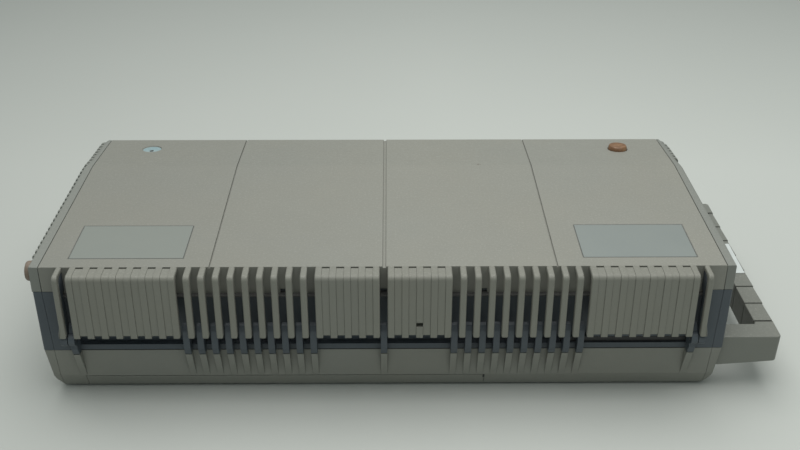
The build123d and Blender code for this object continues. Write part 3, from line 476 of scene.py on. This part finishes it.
def lid_skin():
    corners = [(-102, 81.9), (-102, 100.0), (48.2, 100.0), (110.4, 93.8), (115, 88.6), (115, 81.9)]
    line = open_fillet(corners, [0, 9.0, 3.2, 2.6], 5)
    # more stations along the flat top, at the borders of the plates' beds
    top = [(-102, 100.0)] + [(y, 100.0) for y in (-91.25, -91.10, -91.0, -80, -68.6, -57, -46.2, -46.1, -45.95, -30, -10, 10, 30)]
    i = [k for k, p in enumerate(line) if abs(p[0] + 102) < 1e-6 and abs(p[1] - 100) < 1e-6][0]
    line = line[:i] + top + line[i + 1:]
    inner = [(112.6, 81.9), (112.6, 87.9), (109.5, 91.5), (48.0, 97.6), (-99.6, 97.6), (-99.6, 81.9)]
    xs = {}

    def station(x, d, front=0.0):
        xs[round(x, 4)] = (d, front)

    for s in (-1, 1):
        for x, d in ((219.8, 0.50), (219.72, 0.28), (219.58, 0.12), (219.38, 0.03), (219.1, 0.0)):
            station(s * x, d, d)
        for x in (214, 209.6, 203.75, 203.65, 203.5, 190, 166.2, 145, 128.9, 128.75, 128.65, 120, 95, 70, 45, 20, 10):
            station(s * x, 0.0)
        for x, d in ((111.75, 0.0), (111.50, 0.05), (111.36, 0.25), (111.32, 0.9), (110.68, 0.9), (110.64, 0.25), (110.50, 0.05), (110.25, 0.0)):
            station(s * x, d)
    for x, d in ((-0.95, 0.0), (-0.78, 0.06), (-0.64, 0.5), (-0.58, 1.0), (1.38, 1.0), (1.44, 0.5), (1.58, 0.06), (1.75, 0.0)):
        station(x, d)
    order = sorted(xs)
    n = len(line)
    normals = []
    for k in range(n):
        a, b = Vector(line[max(0, k - 1)]), Vector(line[min(n - 1, k + 1)])
        if k and k < n - 1 and line[k] == (-102, 100.0):
            normals.append(Vector((0, 1)))
            continue
        t = (b - a).normalized()
        normals.append(Vector((-t.y, t.x)))
    bm = bmesh.new()
    rows = []
    for x in order:
        d, front = xs[x]
        row = []
        for k, (y, z) in enumerate(line):
            is_front = y < -101.99 and z < 99.99
            depth = front if is_front else d
            if abs(abs(x) - 166.2) < 37.5 and -91.15 < y < -46.05 and z > 99.9:
                depth = max(depth, 0.5)
            nrm = normals[k]
            if is_front:
                nrm = Vector((-1, 0))
            if y > 114.99 and z < 82:
                nrm = Vector((1, 0))
            row.append(bm.verts.new((x, y - nrm.x * depth, z - nrm.y * depth)))
        for y, z in inner:
            row.append(bm.verts.new((x, y, z)))
        rows.append(row)
    m = len(rows[0])
    for a, b in zip(rows, rows[1:]):
        for k in range(m):
            bm.faces.new((a[k], b[k], b[(k + 1) % m], a[(k + 1) % m]))
    bm.faces.new(rows[0])
    bm.faces.new(list(reversed(rows[-1])))
    ob = finish_mesh(bm, "lid_top", M["lid_plastic"], angle=28)

    # what is cut out of the skin: beds of the feet, peg holes behind the comb, slots of the catches
    cut = bmesh.new()
    for x, y, r, d in ((-183.0, 88.0, 7.3, 0.8), (183.7, 85.5, 7.55, 0.9)):
        place = frame_at((x, y, lid_z(y)), (0, SLOPE, 1))
        lathe(cut, [(0, -d), (r, -d), (r, -0.25), (r + 0.3, 0.08), (r + 0.3, 1.5), (0, 1.5)], place, 64)
    for x in (-7 * PITCH, 0, 7 * PITCH):
        block(cut, (x - 2.2, -103.4, 80.6), (x + 2.2, -99.0, 83.6), r=0)
    for x in (-147.5, 152.5):
        block(cut, (x - 15, 111.5, 83.0), (x + 15, 116.5, 87.4), r=0)
    cutter = finish_mesh(cut, "cutter", M["lid_plastic"], weighted=False)
    bo = ob.modifiers.new("cuts", "BOOLEAN")
    bo.operation, bo.solver, bo.object = "DIFFERENCE", "EXACT", cutter
    ob.modifiers.move(len(ob.modifiers) - 1, 0)
    dg = bpy.context.evaluated_depsgraph_get()
    me = bpy.data.meshes.new_from_object(ob.evaluated_get(dg))
    ob.modifiers.clear()
    ob.data = me
    me.name = "lid_top"
    me.shade_smooth()
    me.set_sharp_from_angle(angle=math.radians(28))
    w = ob.modifiers.new("even_normals", "WEIGHTED_NORMAL")
    w.keep_sharp, w.weight = True, 60
    me.materials.clear()
    me.materials.append(M["lid_plastic"])
    bpy.data.objects.remove(cutter)
    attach(ob, "lid")
    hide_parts("lid_shell")


lid_skin()


# ================================================================== lid: comb over the front
def comb():
    butt = lambda c: c.y > -102.2
    finger = fillet(
        [(-102, 100), (-115, 100), (-115, 53.8), (-110.5, 53.8), (-110.5, 96.4), (-102, 96.4)],
        [0, 3.3, 0.6, 0.6, 3.4, 0], 8)
    bm = bmesh.new()
    for i in range(-23, 23):
        x = (i + 0.5) * PITCH
        a, b = x - 2.15, x + 2.15
        if i == -23:
            a = -208.4
        if i == 22:
            b = 208.4
        left_open = i in OPEN or i == -23
        right_open = (i + 1) in OPEN or i == 22
        ra, rb = (1.05 if left_open else 0.16), (1.05 if right_open else 0.16)
        if i == 2:
            # the finger with the square peg hole
            low = fillet([(-115, 62.3), (-115, 53.8), (-110.5, 53.8), (-110.5, 62.3)], [0, 0.6, 0.6, 0], 4)
            high = fillet([(-102, 100), (-115, 100), (-115, 65.6), (-110.5, 65.6), (-110.5, 96.4), (-102, 96.4)], [0, 3.3, 0, 0, 3.4, 0], 8)
            prism(bm, low, a, b, "x", ra, rb, 3, keep=lambda c: c.z > 62.2)
            prism(bm, high, a, b, "x", ra, rb, 3, keep=lambda c: c.y > -102.2 or c.z < 65.7)
            prism(bm, [(-111.3, 62.2), (-110.5, 62.2), (-110.5, 65.7), (-111.3, 65.7)], a, b)
            continue
        prism(bm, finger, a, b, "x", ra, rb, 3, keep=butt)
    # small flare at the foot of the last finger at each end
    for s in (-1, 1):
        pts = [(s * 207.0, 53.85), (s * 209.5, 53.85), (s * 209.3, 57.0), (s * 208.2, 63.0), (s * 207.0, 63.0)]
        prism(bm, fillet(pts, [0, 0.4, 1.5, 1.5, 0], 4), -114.9, -110.6, "y", 0.7, 0.3, 3)
    ob = finish_mesh(bm, "comb_fingers", M["comb_plastic"], "lid", angle=38)

    # closed slots: set back a little, a dash of shadow behind the top, a notch at the foot
    bm = bmesh.new()
    panel = fillet(
        [(-103.35, 99.75), (-114.55, 99.75), (-114.55, 55.7), (-110.6, 55.7), (-110.6, 96.0), (-103.35, 96.0)],
        [0.25, 3.15, 0.5, 0.5, 3.0, 0], 8)
    for i in CLOSED:
        x = i * PITCH
        prism(bm, panel, x - 2.41, x + 2.41, "x", 0.06, 0.06, 1)
    finish_mesh(bm, "comb_panels", M["comb_plastic"], "lid", angle=38)
    bm = bmesh.new()
    for i in CLOSED:
        x = i * PITCH
        block(bm, (x - 2.44, -103.4, 96.6), (x + 2.44, -102.02, 97.2), r=0)
    finish_mesh(bm, "comb_dashes", M["slot_dark"], "lid")
    # foot of the front wall with its lip, seen at the end of each open slot; the peg holes go through it
    bm = bmesh.new()
    # painted shade: the lip gets a dark grey in place of the lid's plastic, as it lies deep in the slots
    prism(bm, fillet([(-105.5, 79.4), (-105.5, 80.6), (-99.6, 80.6), (-99.6, 79.4)], [0.3, 0.3, 0, 0], 3), -209.3, 209.3)
    finish_mesh(bm, "comb_lip", M["slot_grey"], "lid")
    bm = bmesh.new()
    holes = [-209.3] + [x + d for x in (-7 * PITCH, 0, 7 * PITCH) for d in (-2.2, 2.2)] + [209.3]
    for a, b in zip(holes[::2], holes[1::2]):
        block(bm, (a, -102.0, 80.55), (b, -99.6, 81.95), r=0)
    finish_mesh(bm, "wall_foot", M["lid_plastic"], "lid")


comb()


# ================================================================== lid: end caps
def cap_radius(y, side):
    # the upper outer edge is crisp in front and well rounded over the slope
    if y < -60:
        return 0.9
    if y < 46:
        return 0.9 + (1.5 if side > 0 else 0.8) * (y + 60) / 106
    return min(4.4, (2.4 if side > 0 else 1.7) + (y - 46) * 0.13)


def cap_out(y, side):
    # the rear corner is drawn in a little
    at_y, r = (93.0, 48.0) if side > 0 else (101.0, 28.0)
    return (225.75 if side > 0 else 226.1) - (r - math.sqrt(r ** 2 - (y - at_y) ** 2) if y > at_y else 0.0)


def cap_top(y):
    if y <= 44:
        return 100.0
    if y <= 110.4:
        soft = max(0.0, 4.5 - abs(y - 48.2))
        return lid_z(y) - soft * soft * SLOPE / 18.0
    return 93.8 - (y - 110.4) * 5.2 / 4.6


def lid_caps():
    stations = [-102.0, -101.8, -101.0, -90, -75, -60, -40, -20, 0, 20, 35, 44, 46, 48.2, 50.5, 53, 58, 62, 66, 72, 80, 88, 93, 96, 99, 102, 105, 107.5, 109.2, 110.3, 111.2, 112.4, 113.6, 114.6, 115.0]
    for side, name, old in ((-1, "lid_end_left", "lid_cap_left"), (1, "lid_end_right", "lid_cap_right")):
        bm = bmesh.new()
        rows = []
        for y in stations:
            x, z, r = cap_out(y, side), cap_top(y), cap_radius(y, side)
            if y > 109:
                # last bit of the top line rolls over into the rear wall
                z -= 0.25 * (1.0 - min(1.0, abs(y - 110.6) / 1.6))
            if y < -101.9:
                x, z = x - 0.25, z - 0.2
            r = min(r, (x - 220.6) * 0.85)
            pts = [(220.05, 81.95), (x, 81.95)]
            for k in range(7):
                t = math.pi / 2 * k / 6
                pts.append((x - r + r * math.cos(t), z - r + r * math.sin(t)))
            pts += [(220.45, z), (220.2, z - 0.1), (220.05, z - 0.35)]
            rows.append([bm.verts.new((side * u, y, v)) for u, v in pts])
        n = len(rows[0])
        for a, b in zip(rows, rows[1:]):
            for k in range(n):
                bm.faces.new((a[k], a[(k + 1) % n], b[(k + 1) % n], b[k]))
        bm.faces.new(rows[0])
        bm.faces.new(rows[-1])
        # grip ribs: all along on the left, only over the slope on the right
        for k in range(-21 if side < 0 else 3, 10):
            y = 48.0 + 6.28 * k
            x, z, r = cap_out(y, side), cap_top(y + 1.5), cap_radius(y, side)
            tip = x + (1.7 if side > 0 else 2.1)
            top = z - (0.9 if y < 50 else 0.35)
            pts = fillet([(x - 1.2 * r, top), (tip, top), (tip, 83.6), (x - 0.8, 83.6), (x - 0.8, z - r - 1.5)], [0, r + 0.9, 0.4, 0, 0], 6)
            prism(bm, [(side * u, v) for u, v in pts], y - 1.5, y + 1.5, "y", 0.45, 0.45, 2)
        finish_mesh(bm, name, M["cap_plastic"], "lid", angle=42, stands_for=[old])


lid_caps()


# ================================================================== lid: bare plates, feet
def plates():
    for name, x, base, second in (("plate_left", -166.2, (0.262, 0.280, 0.258), (0.250, 0.268, 0.250)), ("plate_right", 166.2, (0.266, 0.292, 0.281), (0.250, 0.276, 0.268))):
        mat = foil(name + "_foil", base, second)
        w, h = 37.05, 22.15
        bm = bmesh.new()
        pts = fillet([(x - w, -68.6 - h), (x + w, -68.6 - h), (x + w, -68.6 + h), (x - w, -68.6 + h)], [0.9] * 4, 4)
        prism(bm, pts, 99.45, 99.86, "z", 0, 0.12, 2)
        finish_mesh(bm, name, mat, "lid", stands_for=["nameplates"])
        # thin dark line round the bare plate
        bm = bmesh.new()
        for a, b in (((x - w, -68.6 - h), (x + w, -68.6 - h + 0.4)), ((x - w, -68.6 + h - 0.4), (x + w, -68.6 + h)),
                     ((x - w, -68.6 - h + 0.4), (x - w + 0.4, -68.6 + h - 0.4)), ((x + w - 0.4, -68.6 - h + 0.4), (x + w, -68.6 + h - 0.4))):
            block(bm, (a[0], a[1], 99.5), (b[0], b[1], 99.90), r=0)
        finish_mesh(bm, name + "_outline", M["outline"], "lid", weighted=False)


plates()


def feet():
    place = frame_at((183.7, 85.5, lid_z(85.5)), (0, SLOPE, 1))
    bm = bmesh.new()
    dish = lambda r, t: (0.10 * math.sin(3 * t + 0.6) * (r / 7.0) if r < 6.4 else 0.0)
    lathe(bm, [(0, -0.85), (6.9, -0.85), (7.35, -0.5), (7.38, 0.25), (7.15, 1.6), (6.8, 2.7), (6.4, 3.2), (5.8, 3.32), (4.4, 3.18), (3.0, 2.98), (1.5, 2.90), (0, 2.88)], place, 64, dish)
    finish_mesh(bm, "foot_on_lid", M["foot_rubber"], "lid", angle=60, weighted=False, stands_for=["lid_foot"])
    place = frame_at((-225.8, -94.6, 93.3), (-1, 0, 0))
    bm = bmesh.new()
    lathe(bm, [(0, 0.0), (6.3, 0.0), (6.58, 0.3), (6.55, 1.6), (6.4, 2.9), (5.95, 3.55), (5.1, 3.78), (3.0, 3.66), (0, 3.6)], place, 56)
    finish_mesh(bm, "foot_on_end", M["end_foot_rubber"], "lid", angle=60, weighted=False, stands_for=["end_foot_front"])
    bm = bmesh.new()
    for z, x in ((68.0, -225.74), (24.0, -224.24)):
        place = frame_at((x, 96.0, z), (-1, 0, 0))
        d = 229.0 + x
        lathe(bm, [(0, 0.0), (6.3, 0.0), (6.58, 0.3), (6.5, 1.6), (6.25, d - 1.0), (5.7, d - 0.25), (4.9, d), (3.0, d - 0.15), (0, d - 0.2)], place, 56)
    finish_mesh(bm, "feet_on_end_rear", M["end_foot_rubber"], "main_unit", angle=60, weighted=False, stands_for=["end_feet_rear"])
    # what is left in the bed of the lost foot: a pale film of glue, and a dark spot
    place = frame_at((-183.0, 88.0, lid_z(88.0)), (0, SLOPE, 1))
    bm = bmesh.new()
    edge = lambda r, t: 0.0
    ring = [(0, -0.79), (6.9 , -0.79), (7.0, -0.70), (6.6, -0.62), (4.0, -0.60), (2.0, -0.63), (0, -0.60)]
    lathe(bm, ring, place, 64)
    finish_mesh(bm, "glue_film", M["glue"], "lid", angle=60, weighted=False)
    bm = bmesh.new()
    place = frame_at((-182.8, 84.6, lid_z(84.6)), (0, SLOPE, 1))
    lathe(bm, [(0, -0.62), (1.7, -0.62), (1.5, -0.45), (0, -0.40)], place, 24, lambda r, t: 0.12 * math.sin(2 * t))
    finish_mesh(bm, "glue_spot", M["black_rubber"], "lid", angle=60, weighted=False)
    # a small speck on the lid, right behind the crease
    bm = bmesh.new()
    for x, y, r in ((71.0, 49.6, 0.62), (72.6, 49.3, 0.40), (71.2, 51.4, 0.35)):
        place = frame_at((x, y, lid_z(y)), (0, SLOPE, 1))
        lathe(bm, [(0, -0.1), (r, -0.1), (r, 0.02), (0, 0.04)], place, 12)
    finish_mesh(bm, "lid_speck", M["speck"], "lid", weighted=False)
    # shadow in the seam at the right end of the battery cover
    bm = bmesh.new()
    prism(bm, [(-97.86, 12.2), (-92.80, 3.1), (-92.0, 3.1), (-97.0, 12.2)], 66.75, 67.95)
    finish_mesh(bm, "cover_seam", M["chip"], "battery_cover", weighted=False)
    # dark seam between the middle section and the base, and a painted shadow: a black strip on the bottom of the recess
    # at the right
    bm = bmesh.new()
    block(bm, (-208, -102.08, 36.72), (208, -101.9, 37.12), r=0)
    block(bm, (116.8, -100.42, 41.05), (204.5, -100.2, 44.8), r=0)
    finish_mesh(bm, "front_seam_and_recess_shadow", M["chip"], "main_unit", weighted=False)
    # rubber feet under the base
    bm = bmesh.new()
    for x, y in ((-211, -80), (196, -78), (-196, 92), (196, 92)):
        place = frame_at((x, y, 2.0), (0, 0, -1))
        lathe(bm, [(0, 0.0), (5.55, 0.0), (5.5, 0.9), (5.2, 1.7), (4.7, 2.0), (3.4, 2.0), (3.1, 1.75), (0, 1.7)], place, 48)
    finish_mesh(bm, "feet_under_base", M["black_rubber"], "main_unit", angle=50, weighted=False, stands_for=["base_feet"])


feet()


# ================================================================== handle
def handle():
    bm = bmesh.new()
    x0, x1, top = 252.3, 265.4, 42.2
    groove = 0.45
    cuts = [-78.0 + 22.4 * k for k in range(8)]
    low = lambda x: 19.4 + 3.0 * min(1.0, max(0.0, (x - 226.0) / 38.5))
    # the two arms with their outer corners, deeper towards the case
    front = fillet([(176, -97.6), (226, -97.6), (x1, -97.6), (x1, cuts[0] - groove), (x0, cuts[0] - groove), (x0, -81.8), (226, -81.8), (176, -81.8)], [0, 0, 2.6, 0.3, 0.3, 2.2, 0, 0], 6)
    rear = fillet([(184, 96.4), (226, 96.4), (x1, 96.4), (x1, cuts[-1] + groove), (x0, cuts[-1] + groove), (x0, 77.4), (226, 77.4), (184, 77.4)], [0, 0, 2.6, 0.3, 0.3, 2.2, 0, 0], 6)
    for pts, z in ((front, top), (rear, top - 0.2)):
        n0 = len(bm.verts)
        prism(bm, pts, 22.4, z, "z", 0.9, 0.9, 3, keep=lambda c: c.x < 185)
        bm.verts.ensure_lookup_table()
        for v in list(bm.verts)[n0:]:
            if v.co.z < 30:
                v.co.z += low(v.co.x) - 22.4
    block(bm, (176, 77.4, 19.4), (184, 93.4, top - 0.2), 0)
    for y in (-88.0, 82.0):
        block(bm, (151, y - 4, 27), (177, y + 4, 41), 0.5)
    # grip: short blocks with a fine step at each groove
    for a, b in zip(cuts, cuts[1:]):
        pts = fillet([(x0, low(x0)), (x1, 22.4), (x1, top), (x0, top)], [0.9, 1.2, 1.2, 0.7], 4)
        n0 = len(bm.verts)
        prism(bm, pts, a + groove, b - groove, "y", 0.28, 0.28, 2)
        bm.verts.ensure_lookup_table()
        for v in list(bm.verts)[n0:]:
            t = (v.co.y - a) / (b - a)
            if v.co.z > 38:
                v.co.z -= 0.45 * t
            if v.co.x > 262:
                v.co.x -= 0.30 * t
    block(bm, (x0 + 0.7, cuts[0] - 2, 23.2), (x1 - 1.0, cuts[-1] + 2, top - 1.1), 0.3)
    for v in bm.verts:
        if v.co.x > 255:
            v.co.x -= 0.8 * (top - v.co.z) / 20.0 * min(1.0, (v.co.x - 255) / 6.0)
    finish_mesh(bm, "handle_grip", M["handle_plastic"], "handle", angle=35, stands_for=["handle"])
    bm = bmesh.new()
    pts = fillet([(x0 + 1.6, -14.9), (x1 - 1.3, -14.9), (x1 - 1.3, 28.7), (x0 + 1.6, 28.7)], [0.8] * 4, 3)
    prism(bm, pts, top - 0.2, top, "z", 0, 0.08, 1)
    finish_mesh(bm, "blank_patch", M["label"], "handle", weighted=False)


handle()


# ================================================================== keys: dished caps with plain legends
KEY_U = 18.8
X_KEYS = -22.5 * KEY_U / 2
ROW_Y = [-52.0, -52.0 + KEY_U + 6.0]
for _ in range(4):
    ROW_Y.append(ROW_Y[-1] + KEY_U)
NAV, PAD = 15.25, 18.5
KEYS = {
    "key_escape": ([(0, 0, 1, 1)], ["Esc"], "key_dark"),
    "keys_function": ([(u, 0, 1, 1) for u in (2, 3, 4, 5, 6.5, 7.5, 8.5, 9.5, 11, 12, 13, 14)], ["F%d" % k for k in range(1, 13)], "key_dark"),
    "keys_system": ([(NAV + u, 0, 1, 1) for u in range(3)], ["Prt", "Scr", "Brk"], "key_dark"),
    "keys_number_row": ([(u, 1, 1, 1) for u in range(13)], list("`1234567890-="), "key_light"),
    "key_backspace": ([(13, 1, 2, 1)], ["Back"], "key_dark"),
    "keys_upper_row": ([(0, 2, 1.5, 1)] + [(1.5 + u, 2, 1, 1) for u in range(12)] + [(13.5, 2, 1.5, 1)], ["Tab"] + list("QWERTYUIOP[]") + ["\\"], "key_light"),
    "keys_home_row": ([(0, 3, 1.75, 1)] + [(1.75 + u, 3, 1, 1) for u in range(11)], ["Caps"] + list("ASDFGHJKL;'"), "key_light"),
    "key_enter": ([(12.75, 3, 2.25, 1)], ["Enter"], "key_dark"),
    "key_shift_left": ([(0, 4, 2.25, 1)], ["Shift"], "key_dark"),
    "keys_lower_row": ([(2.25 + u, 4, 1, 1) for u in range(10)], list("ZXCVBNM,./"), "key_light"),
    "key_shift_right": ([(12.25, 4, 2.75, 1)], ["Shift"], "key_dark"),
    "keys_control_row": ([(0, 5, 1.5, 1), (2.5, 5, 1.5, 1), (11, 5, 1.5, 1), (13.5, 5, 1.5, 1)], ["Ctrl", "Alt", "Alt", "Ctrl"], "key_dark"),
    "key_space": ([(4, 5, 7, 1)], [""], "key_light"),
    "keys_editing": ([(NAV + u, r, 1, 1) for u in range(3) for r in (1, 2)], ["Ins", "Del", "Home", "End", "PgUp", "PgDn"], "key_dark"),
    "keys_cursor": ([(NAV + 1, 4, 1, 1)] + [(NAV + u, 5, 1, 1) for u in range(3)], ["↑", "←", "↓", "→"], "key_dark"),
    "keys_number_pad": (
        [(PAD + u, 1, 1, 1) for u in range(4)] + [(PAD + u, r, 1, 1) for u in range(3) for r in (2, 3, 4)]
        + [(PAD + 3, 2, 1, 2), (PAD + 3, 4, 1, 2), (PAD, 5, 2, 1), (PAD + 2, 5, 1, 1)],
        ["Num", "/", "*", "-", "7", "4", "1", "8", "5", "2", "9", "6", "3", "+", "Enter", "0", "."], "key_light"),
}
Z_FOOT, Z_FACE, DISH = 83.0, 74.95, 0.75


def rounded_ring(w, h, r, seg=4):
    return fillet([(-w / 2, -h / 2), (w / 2, -h / 2), (w / 2, h / 2), (-w / 2, h / 2)], [r] * 4, seg)


def face_z(dx, w, long_key):
    # the cap is hollowed along the row; the space bar gets a flat face a little higher instead
    t = min(1.0, abs(dx) / (w / 2))
    if long_key:
        return Z_FACE + 0.35
    return Z_FACE + DISH * (1 - t * t)


def keycap(bm, cx, cy, w, h, long_key=False):
    shift = 0.6
    levels = [
        (w - 0.8, h - 0.8, 0.9, Z_FOOT, 0.0),
        (w - 1.0, h - 1.0, 1.0, Z_FOOT - 0.6, 0.0),
        (w - 3.6, h - 3.6, 1.6, Z_FACE + 1.3, shift),
        (w - 4.1, h - 4.1, 1.8, Z_FACE + 0.55, shift),
        (w - 4.8, h - 4.8, 1.9, Z_FACE + 0.12, shift),
        (w - 5.7, h - 5.7, 1.9, None, shift),
    ]
    rings = []
    top_w = w - 5.7
    for lw, lh, lr, z, s in levels:
        ring = []
        for px, py in rounded_ring(lw, lh, lr):
            zz = face_z(px, top_w, long_key) if z is None else z + (DISH * 0.5 if (z < Z_FACE + 0.3 and abs(px) < top_w * 0.35 and not long_key) else 0.0)
            ring.append(bm.verts.new((cx + px, cy + py + s, zz)))
        rings.append(ring)
    for a, b in zip(rings, rings[1:]):
        n = len(a)
        for k in range(n):
            bm.faces.new((a[k], a[(k + 1) % n], b[(k + 1) % n], b[k]))
    # face: strips across, so that the hollow is smooth
    last = rings[-1]
    for scale in (0.8, 0.6, 0.4, 0.2):
        ring = []
        for v in rings[-1] if scale == 0.8 else base:
            pass
        base = last
        ring = []
        for v in base:
            px, py = (v.co.x - cx) * scale, (v.co.y - cy - shift) * scale
            ring.append(bm.verts.new((cx + px, cy + shift + py, face_z(px, top_w, long_key))))
        prev = rings[-1]
        n = len(prev)
        for k in range(n):
            bm.faces.new((prev[k], prev[(k + 1) % n], ring[(k + 1) % n], ring[k]))
        rings.append(ring)
    centre = bm.verts.new((cx, cy + shift, face_z(0, top_w, long_key)))
    n = len(rings[-1])
    for k in range(n):
        bm.faces.new((rings[-1][k], rings[-1][(k + 1) % n], centre))
    bm.faces.new(list(reversed(rings[0])))
    block(bm, (cx - 2.5, cy - 2.5, Z_FOOT - 0.1), (cx + 2.5, cy + 2.5, Z_FOOT + 2.8), 0.3)


def keyboard():
    font = bpy.data.curves.new("legend_text", "FONT")
    font.align_x, font.align_y = "CENTER", "CENTER"
    font.extrude = 0.00002
    font.resolution_u = 3
    pen = bpy.data.objects.new("legend_text", font)
    scene.collection.objects.link(pen)
    for name, (places, words, slot) in KEYS.items():
        bm = bmesh.new()
        ink = bmesh.new()
        for (u, row, w, h), word in zip(places, words):
            cx = X_KEYS + (u + w / 2) * KEY_U
            cy = ROW_Y[row] + (h - 1) * KEY_U / 2
            kw, kh = w * KEY_U, h * KEY_U
            keycap(bm, cx, cy, kw, kh, w > 5)
            if word:
                font.body = word
                font.size = 0.0062 if len(word) == 1 else (0.0042 if len(word) < 4 else 0.0034)
                bpy.context.view_layer.update()
                me = bpy.data.meshes.new_from_object(pen.evaluated_get(bpy.context.evaluated_depsgraph_get()))
                part = bmesh.new()
                part.from_mesh(me)
                for v in part.verts:
                    # read by someone who faces the opened keyboard
                    px, py = v.co.x * 1000, v.co.y * 1000
                    low = face_z(px, kw - 5.7, False) - 0.02 - v.co.z * 1000
                    v.co = Vector((cx + px, cy + 0.6 - py, low))
                tmp = bpy.data.meshes.new("tmp")
                part.to_mesh(tmp)
                part.free()
                ink.from_mesh(tmp)
                bpy.data.meshes.remove(tmp)
                bpy.data.meshes.remove(me)
        finish_mesh(bm, "caps_" + name, M[slot], name, angle=50, weighted=False, stands_for=[name])
        if len(ink.verts):
            finish_mesh(ink, "legends_" + name, M["legend" if slot == "key_light" else "legend_pale"], name, weighted=False)
        else:
            ink.free()
    bpy.data.objects.remove(pen)


keyboard()


# ================================================================== rear sockets: pins
def socket_pins():
    bm = bmesh.new()
    face = bmesh.new()
    for x, w, count in ((-92.0, 53.0, 13), (-32.0, 39.0, 8), (16.0, 31.0, 5)):
        step = 2.77
        for row, n in ((1.4, count), (-1.4, count - 1)):
            for k in range(n):
                px = x + (k - (n - 1) / 2) * step
                place = frame_at((px, 112.1, 54.0 + row), (0, 1, 0), up=(0, 0, 1))
                lathe(bm, [(0, 0), (0.5, 0), (0.5, 2.0), (0.3, 2.35), (0, 2.4)], place, 12)
        block(face, (x - (w - 16) / 2 + 0.05, 111.9, 50.6), (x + (w - 16) / 2 - 0.05, 112.3, 57.4), 0)
        for s in (-1, 1):
            # hexagon posts beside each socket
            place = frame_at((x + s * (w / 2 - 3.4), 112.2, 54.0), (0, 1, 0), up=(0, 0, 1))
            lathe(bm, [(0, 0), (2.3, 0), (2.3, 1.9), (2.1, 2.1), (1.2, 2.1), (1.2, 0.8), (0, 0.8)], place, 6)
    finish_mesh(bm, "socket_pins", M["socket_metal"], "main_unit", angle=30, weighted=False)
    finish_mesh(face, "socket_faces", M["chip"], "main_unit", angle=30, weighted=False)


socket_pins()


# ================================================================== floor, light, camera
def stage():
    me = bpy.data.meshes.new("floor")
    s = 4.0
    me.from_pydata([(-s, -s, 0), (s, -s, 0), (s, s, 0), (-s, s, 0)], [], [(0, 1, 2, 3)])
    ob = bpy.data.objects.new("floor", me)
    scene.collection.objects.link(ob)
    m, nt, sh = tree("floor_paper")
    co = add(nt, "ShaderNodeTexCoord").outputs["Object"]
    col = mix(nt, ramp(nt, noise(nt, co, 3.0, 3.0), 0.3, 0.7), (0.500, 0.522, 0.498), (0.512, 0.532, 0.508))
    # painted shade: the sweep gets darker towards the back, as the light falls off
    sep = add(nt, "ShaderNodeSeparateXYZ")
    nt.links.new(co, sep.inputs[0])
    col = mix(nt, ramp(nt, sep.outputs["Y"], 0.25, 1.6), col, (0.30, 0.315, 0.302))
    # and painted shade towards the left
    col = mix(nt, ramp(nt, sep.outputs["X"], -0.70, 0.06, 0.50, 0.0), col, (0.27, 0.283, 0.270))
    nt.links.new(col, sh.inputs["Base Color"])
    sh.inputs["Roughness"].default_value = 0.75
    sh.inputs["Specular IOR Level"].default_value = 0.2
    me.materials.append(m)

    def area(name, loc, target, sx, sy, watts, colour=(1, 1, 1)):
        d = bpy.data.lights.new(name, "AREA")
        d.shape, d.size, d.size_y, d.energy, d.color = "RECTANGLE", sx, sy, watts, colour
        o = bpy.data.objects.new(name, d)
        o.location = loc
        o.rotation_euler = (Vector(target) - Vector(loc)).to_track_quat("-Z", "Y").to_euler()
        scene.collection.objects.link(o)

    area("softbox_top", (0.04, 0.045, 1.35), (0.03, 0.04, 0.0), 1.9, 1.5, 22.8, (1.0, 0.985, 0.965))
    area("fill_front", (0.9, -1.5, 0.9), (0.1, 0, 0.05), 1.4, 1.0, 0.6, (0.93, 1.0, 0.97))
    w = bpy.data.worlds.new("studio")
    scene.world = w
    w.use_nodes = True
    bg = w.node_tree.nodes["Background"]
    bg.inputs[0].default_value = (0.80, 0.90, 0.86, 1)
    bg.inputs[1].default_value = 0.38


stage()

scene.view_settings.view_transform = "Standard"
scene.view_settings.look = "None"


def camera():
    pitch, roll, yaw = math.radians(-28.41), math.radians(-0.13), math.radians(-0.61)
    # base camera looks along +Y with +X to the right
    r = Matrix.Rotation(yaw, 3, "Z") @ Matrix.Rotation(pitch, 3, "X") @ Matrix.Rotation(roll, 3, "Y")
    right, forward, up = r.col[0], r.col[1], r.col[2]
    m = Matrix((right, up, -forward)).transposed().to_4x4()
    m.translation = Vector((0.0039, -0.7089, 0.4583))
    d = bpy.data.cameras.new("camera")
    d.sensor_width = 36.0
    d.lens = 49.78
    d.clip_start, d.clip_end = 0.02, 30
    o = bpy.data.objects.new("camera", d)
    scene.collection.objects.link(o)
    o.matrix_world = m
    scene.camera = o


camera()

bpy.context.view_layer.update()
